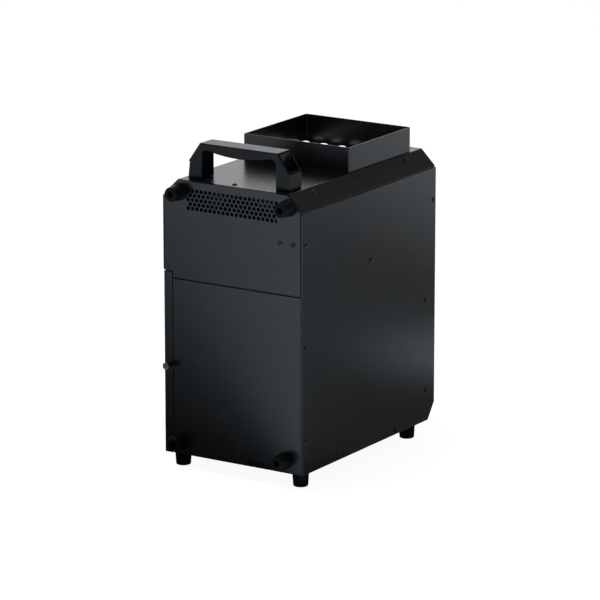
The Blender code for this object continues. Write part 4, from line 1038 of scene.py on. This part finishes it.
def seen_or_lighting(tree, seen, lighting, output):
    """One shader for what the camera sees, and another for the light that reaches the object."""
    mix = add_node(tree, "MixShader")
    link(tree, add_node(tree, "LightPath").outputs["Is Camera Ray"], mix.inputs[0])
    link(tree, lighting, mix.inputs[1])
    link(tree, seen, mix.inputs[2])
    link(tree, mix.outputs[0], output)


def emission(tree, color, strength=1.0):
    node = add_node(tree, "Emission", Strength=strength)
    if isinstance(color, tuple):
        node.inputs["Color"].default_value = (*color, 1)
    else:
        link(tree, color, node.inputs["Color"])
    return node.outputs[0]


def floor_material():
    """White to the camera. To the light that reaches the object, it is dark, with white cards on it."""
    made = bpy.data.materials.new("floor_paint")
    made.use_nodes = True
    tree = made.node_tree
    tree.nodes.remove(tree.nodes["Principled BSDF"])
    place = add_node(tree, "TexCoord").outputs["Object"]
    card = ramp(tree, along(tree, place, (0.736, -0.677, 0)), 0.195, 0.275)
    behind = ramp(tree, along(tree, place, (0, 1, 0)), -0.15, 0.10)
    color = blended(tree, behind, (0.035, 0.038, 0.042), (0.130, 0.138, 0.145))
    for direction in ((-0.6, 0.8, 0), (-0.94, 0.34, 0)):
        beyond = ramp(tree, along(tree, place, direction), 0.50, 0.80)
        color = blended(tree, beyond, color, (0.85, 0.91, 0.96))
    color = blended(tree, card, color, (0.99, 1.18, 1.34))
    color = blended(tree, near(tree, place, (0.33, 0.63, 0), 0.25), color, (0.95, 1.09, 1.15))
    paint = add_node(tree, "BsdfDiffuse", Color=(0.30, 0.30, 0.30, 1))
    both = add_node(tree, "AddShader")
    link(tree, paint.outputs[0], both.inputs[0])
    link(tree, emission(tree, (1, 1, 1), 0.94), both.inputs[1])
    seen_or_lighting(tree, both.outputs[0], emission(tree, color),
                     tree.nodes["Material Output"].inputs["Surface"])
    return made


def make_world():
    """Dark studio with a soft glow low down behind the object; the camera sees white."""
    world = bpy.data.worlds.new("studio")
    bpy.context.scene.world = world
    world.use_nodes = True
    tree = world.node_tree
    tree.nodes.remove(tree.nodes["Background"])
    place = add_node(tree, "TexCoord").outputs["Generated"]
    glow = ramp(tree, along(tree, place, (-0.523, 0.815, 0.249)), 0.72, 0.98)
    color = blended(tree, glow, (0.10, 0.10, 0.105), (1.10, 1.10, 1.12))
    seen_or_lighting(tree, emission(tree, (1, 1, 1)), emission(tree, color),
                     tree.nodes["World Output"].inputs["Surface"])


def make_studio():
    mesh = bpy.data.meshes.new("floor")
    size = 14
    corners = [(-size, -size, 0), (size, -size, 0), (size, size, 0), (-size, size, 0)]
    mesh.from_pydata(corners, [], [(0, 1, 2, 3)])
    mesh.materials.append(floor_material())
    floor = placed("floor", mesh)
    make_world()
    softbox("overhead", (-0.6, -0.5, 2.6), (0, 0, 0.2), (1.4, 1.4), 22)
    bpy.context.scene.view_settings.view_transform = "Standard"


# -------- build
make_camera()
make_studio()
make_tray()
make_rear_panel()
make_top()
make_side_covers()
make_door()
make_thumbscrew()
make_chute()
make_handle()
make_feet()
make_bottle_cap()
make_menu_panel()
make_signal_sockets()
make_inlet()
make_fuse()
make_switch()
INNER_FINISH = {
    "inner_frame": COAT_INNER, "bay_shelf": COAT_INNER, "bay_divider": COAT_INNER, "front_panel": COAT,
    "hinge_frame_leaf": BLACK_STEEL, "hinge_door_leaf": BLACK_STEEL, "hinge_pin": ZINC,
    "heater_bracket": ZINC, "fluid_container": BOTTLE, "intake_hose": HOSE, "fluid_pump": PLASTIC,
    "pressure_pipe": COPPER,
    "heater_core": ALUMINIUM, "heater_jacket": WOOL, "power_supply": ALUMINIUM, "control_board": CIRCUIT,
    "cooling_fan_frame": PLASTIC, "cooling_fan_rotor": PLASTIC, "power_rocker": GLOSS,
    "signal_in_contacts": BRASS, "inlet_contacts": BRASS,
}
for node_name, finish in INNER_FINISH.items():
    dress(node_name, finish)
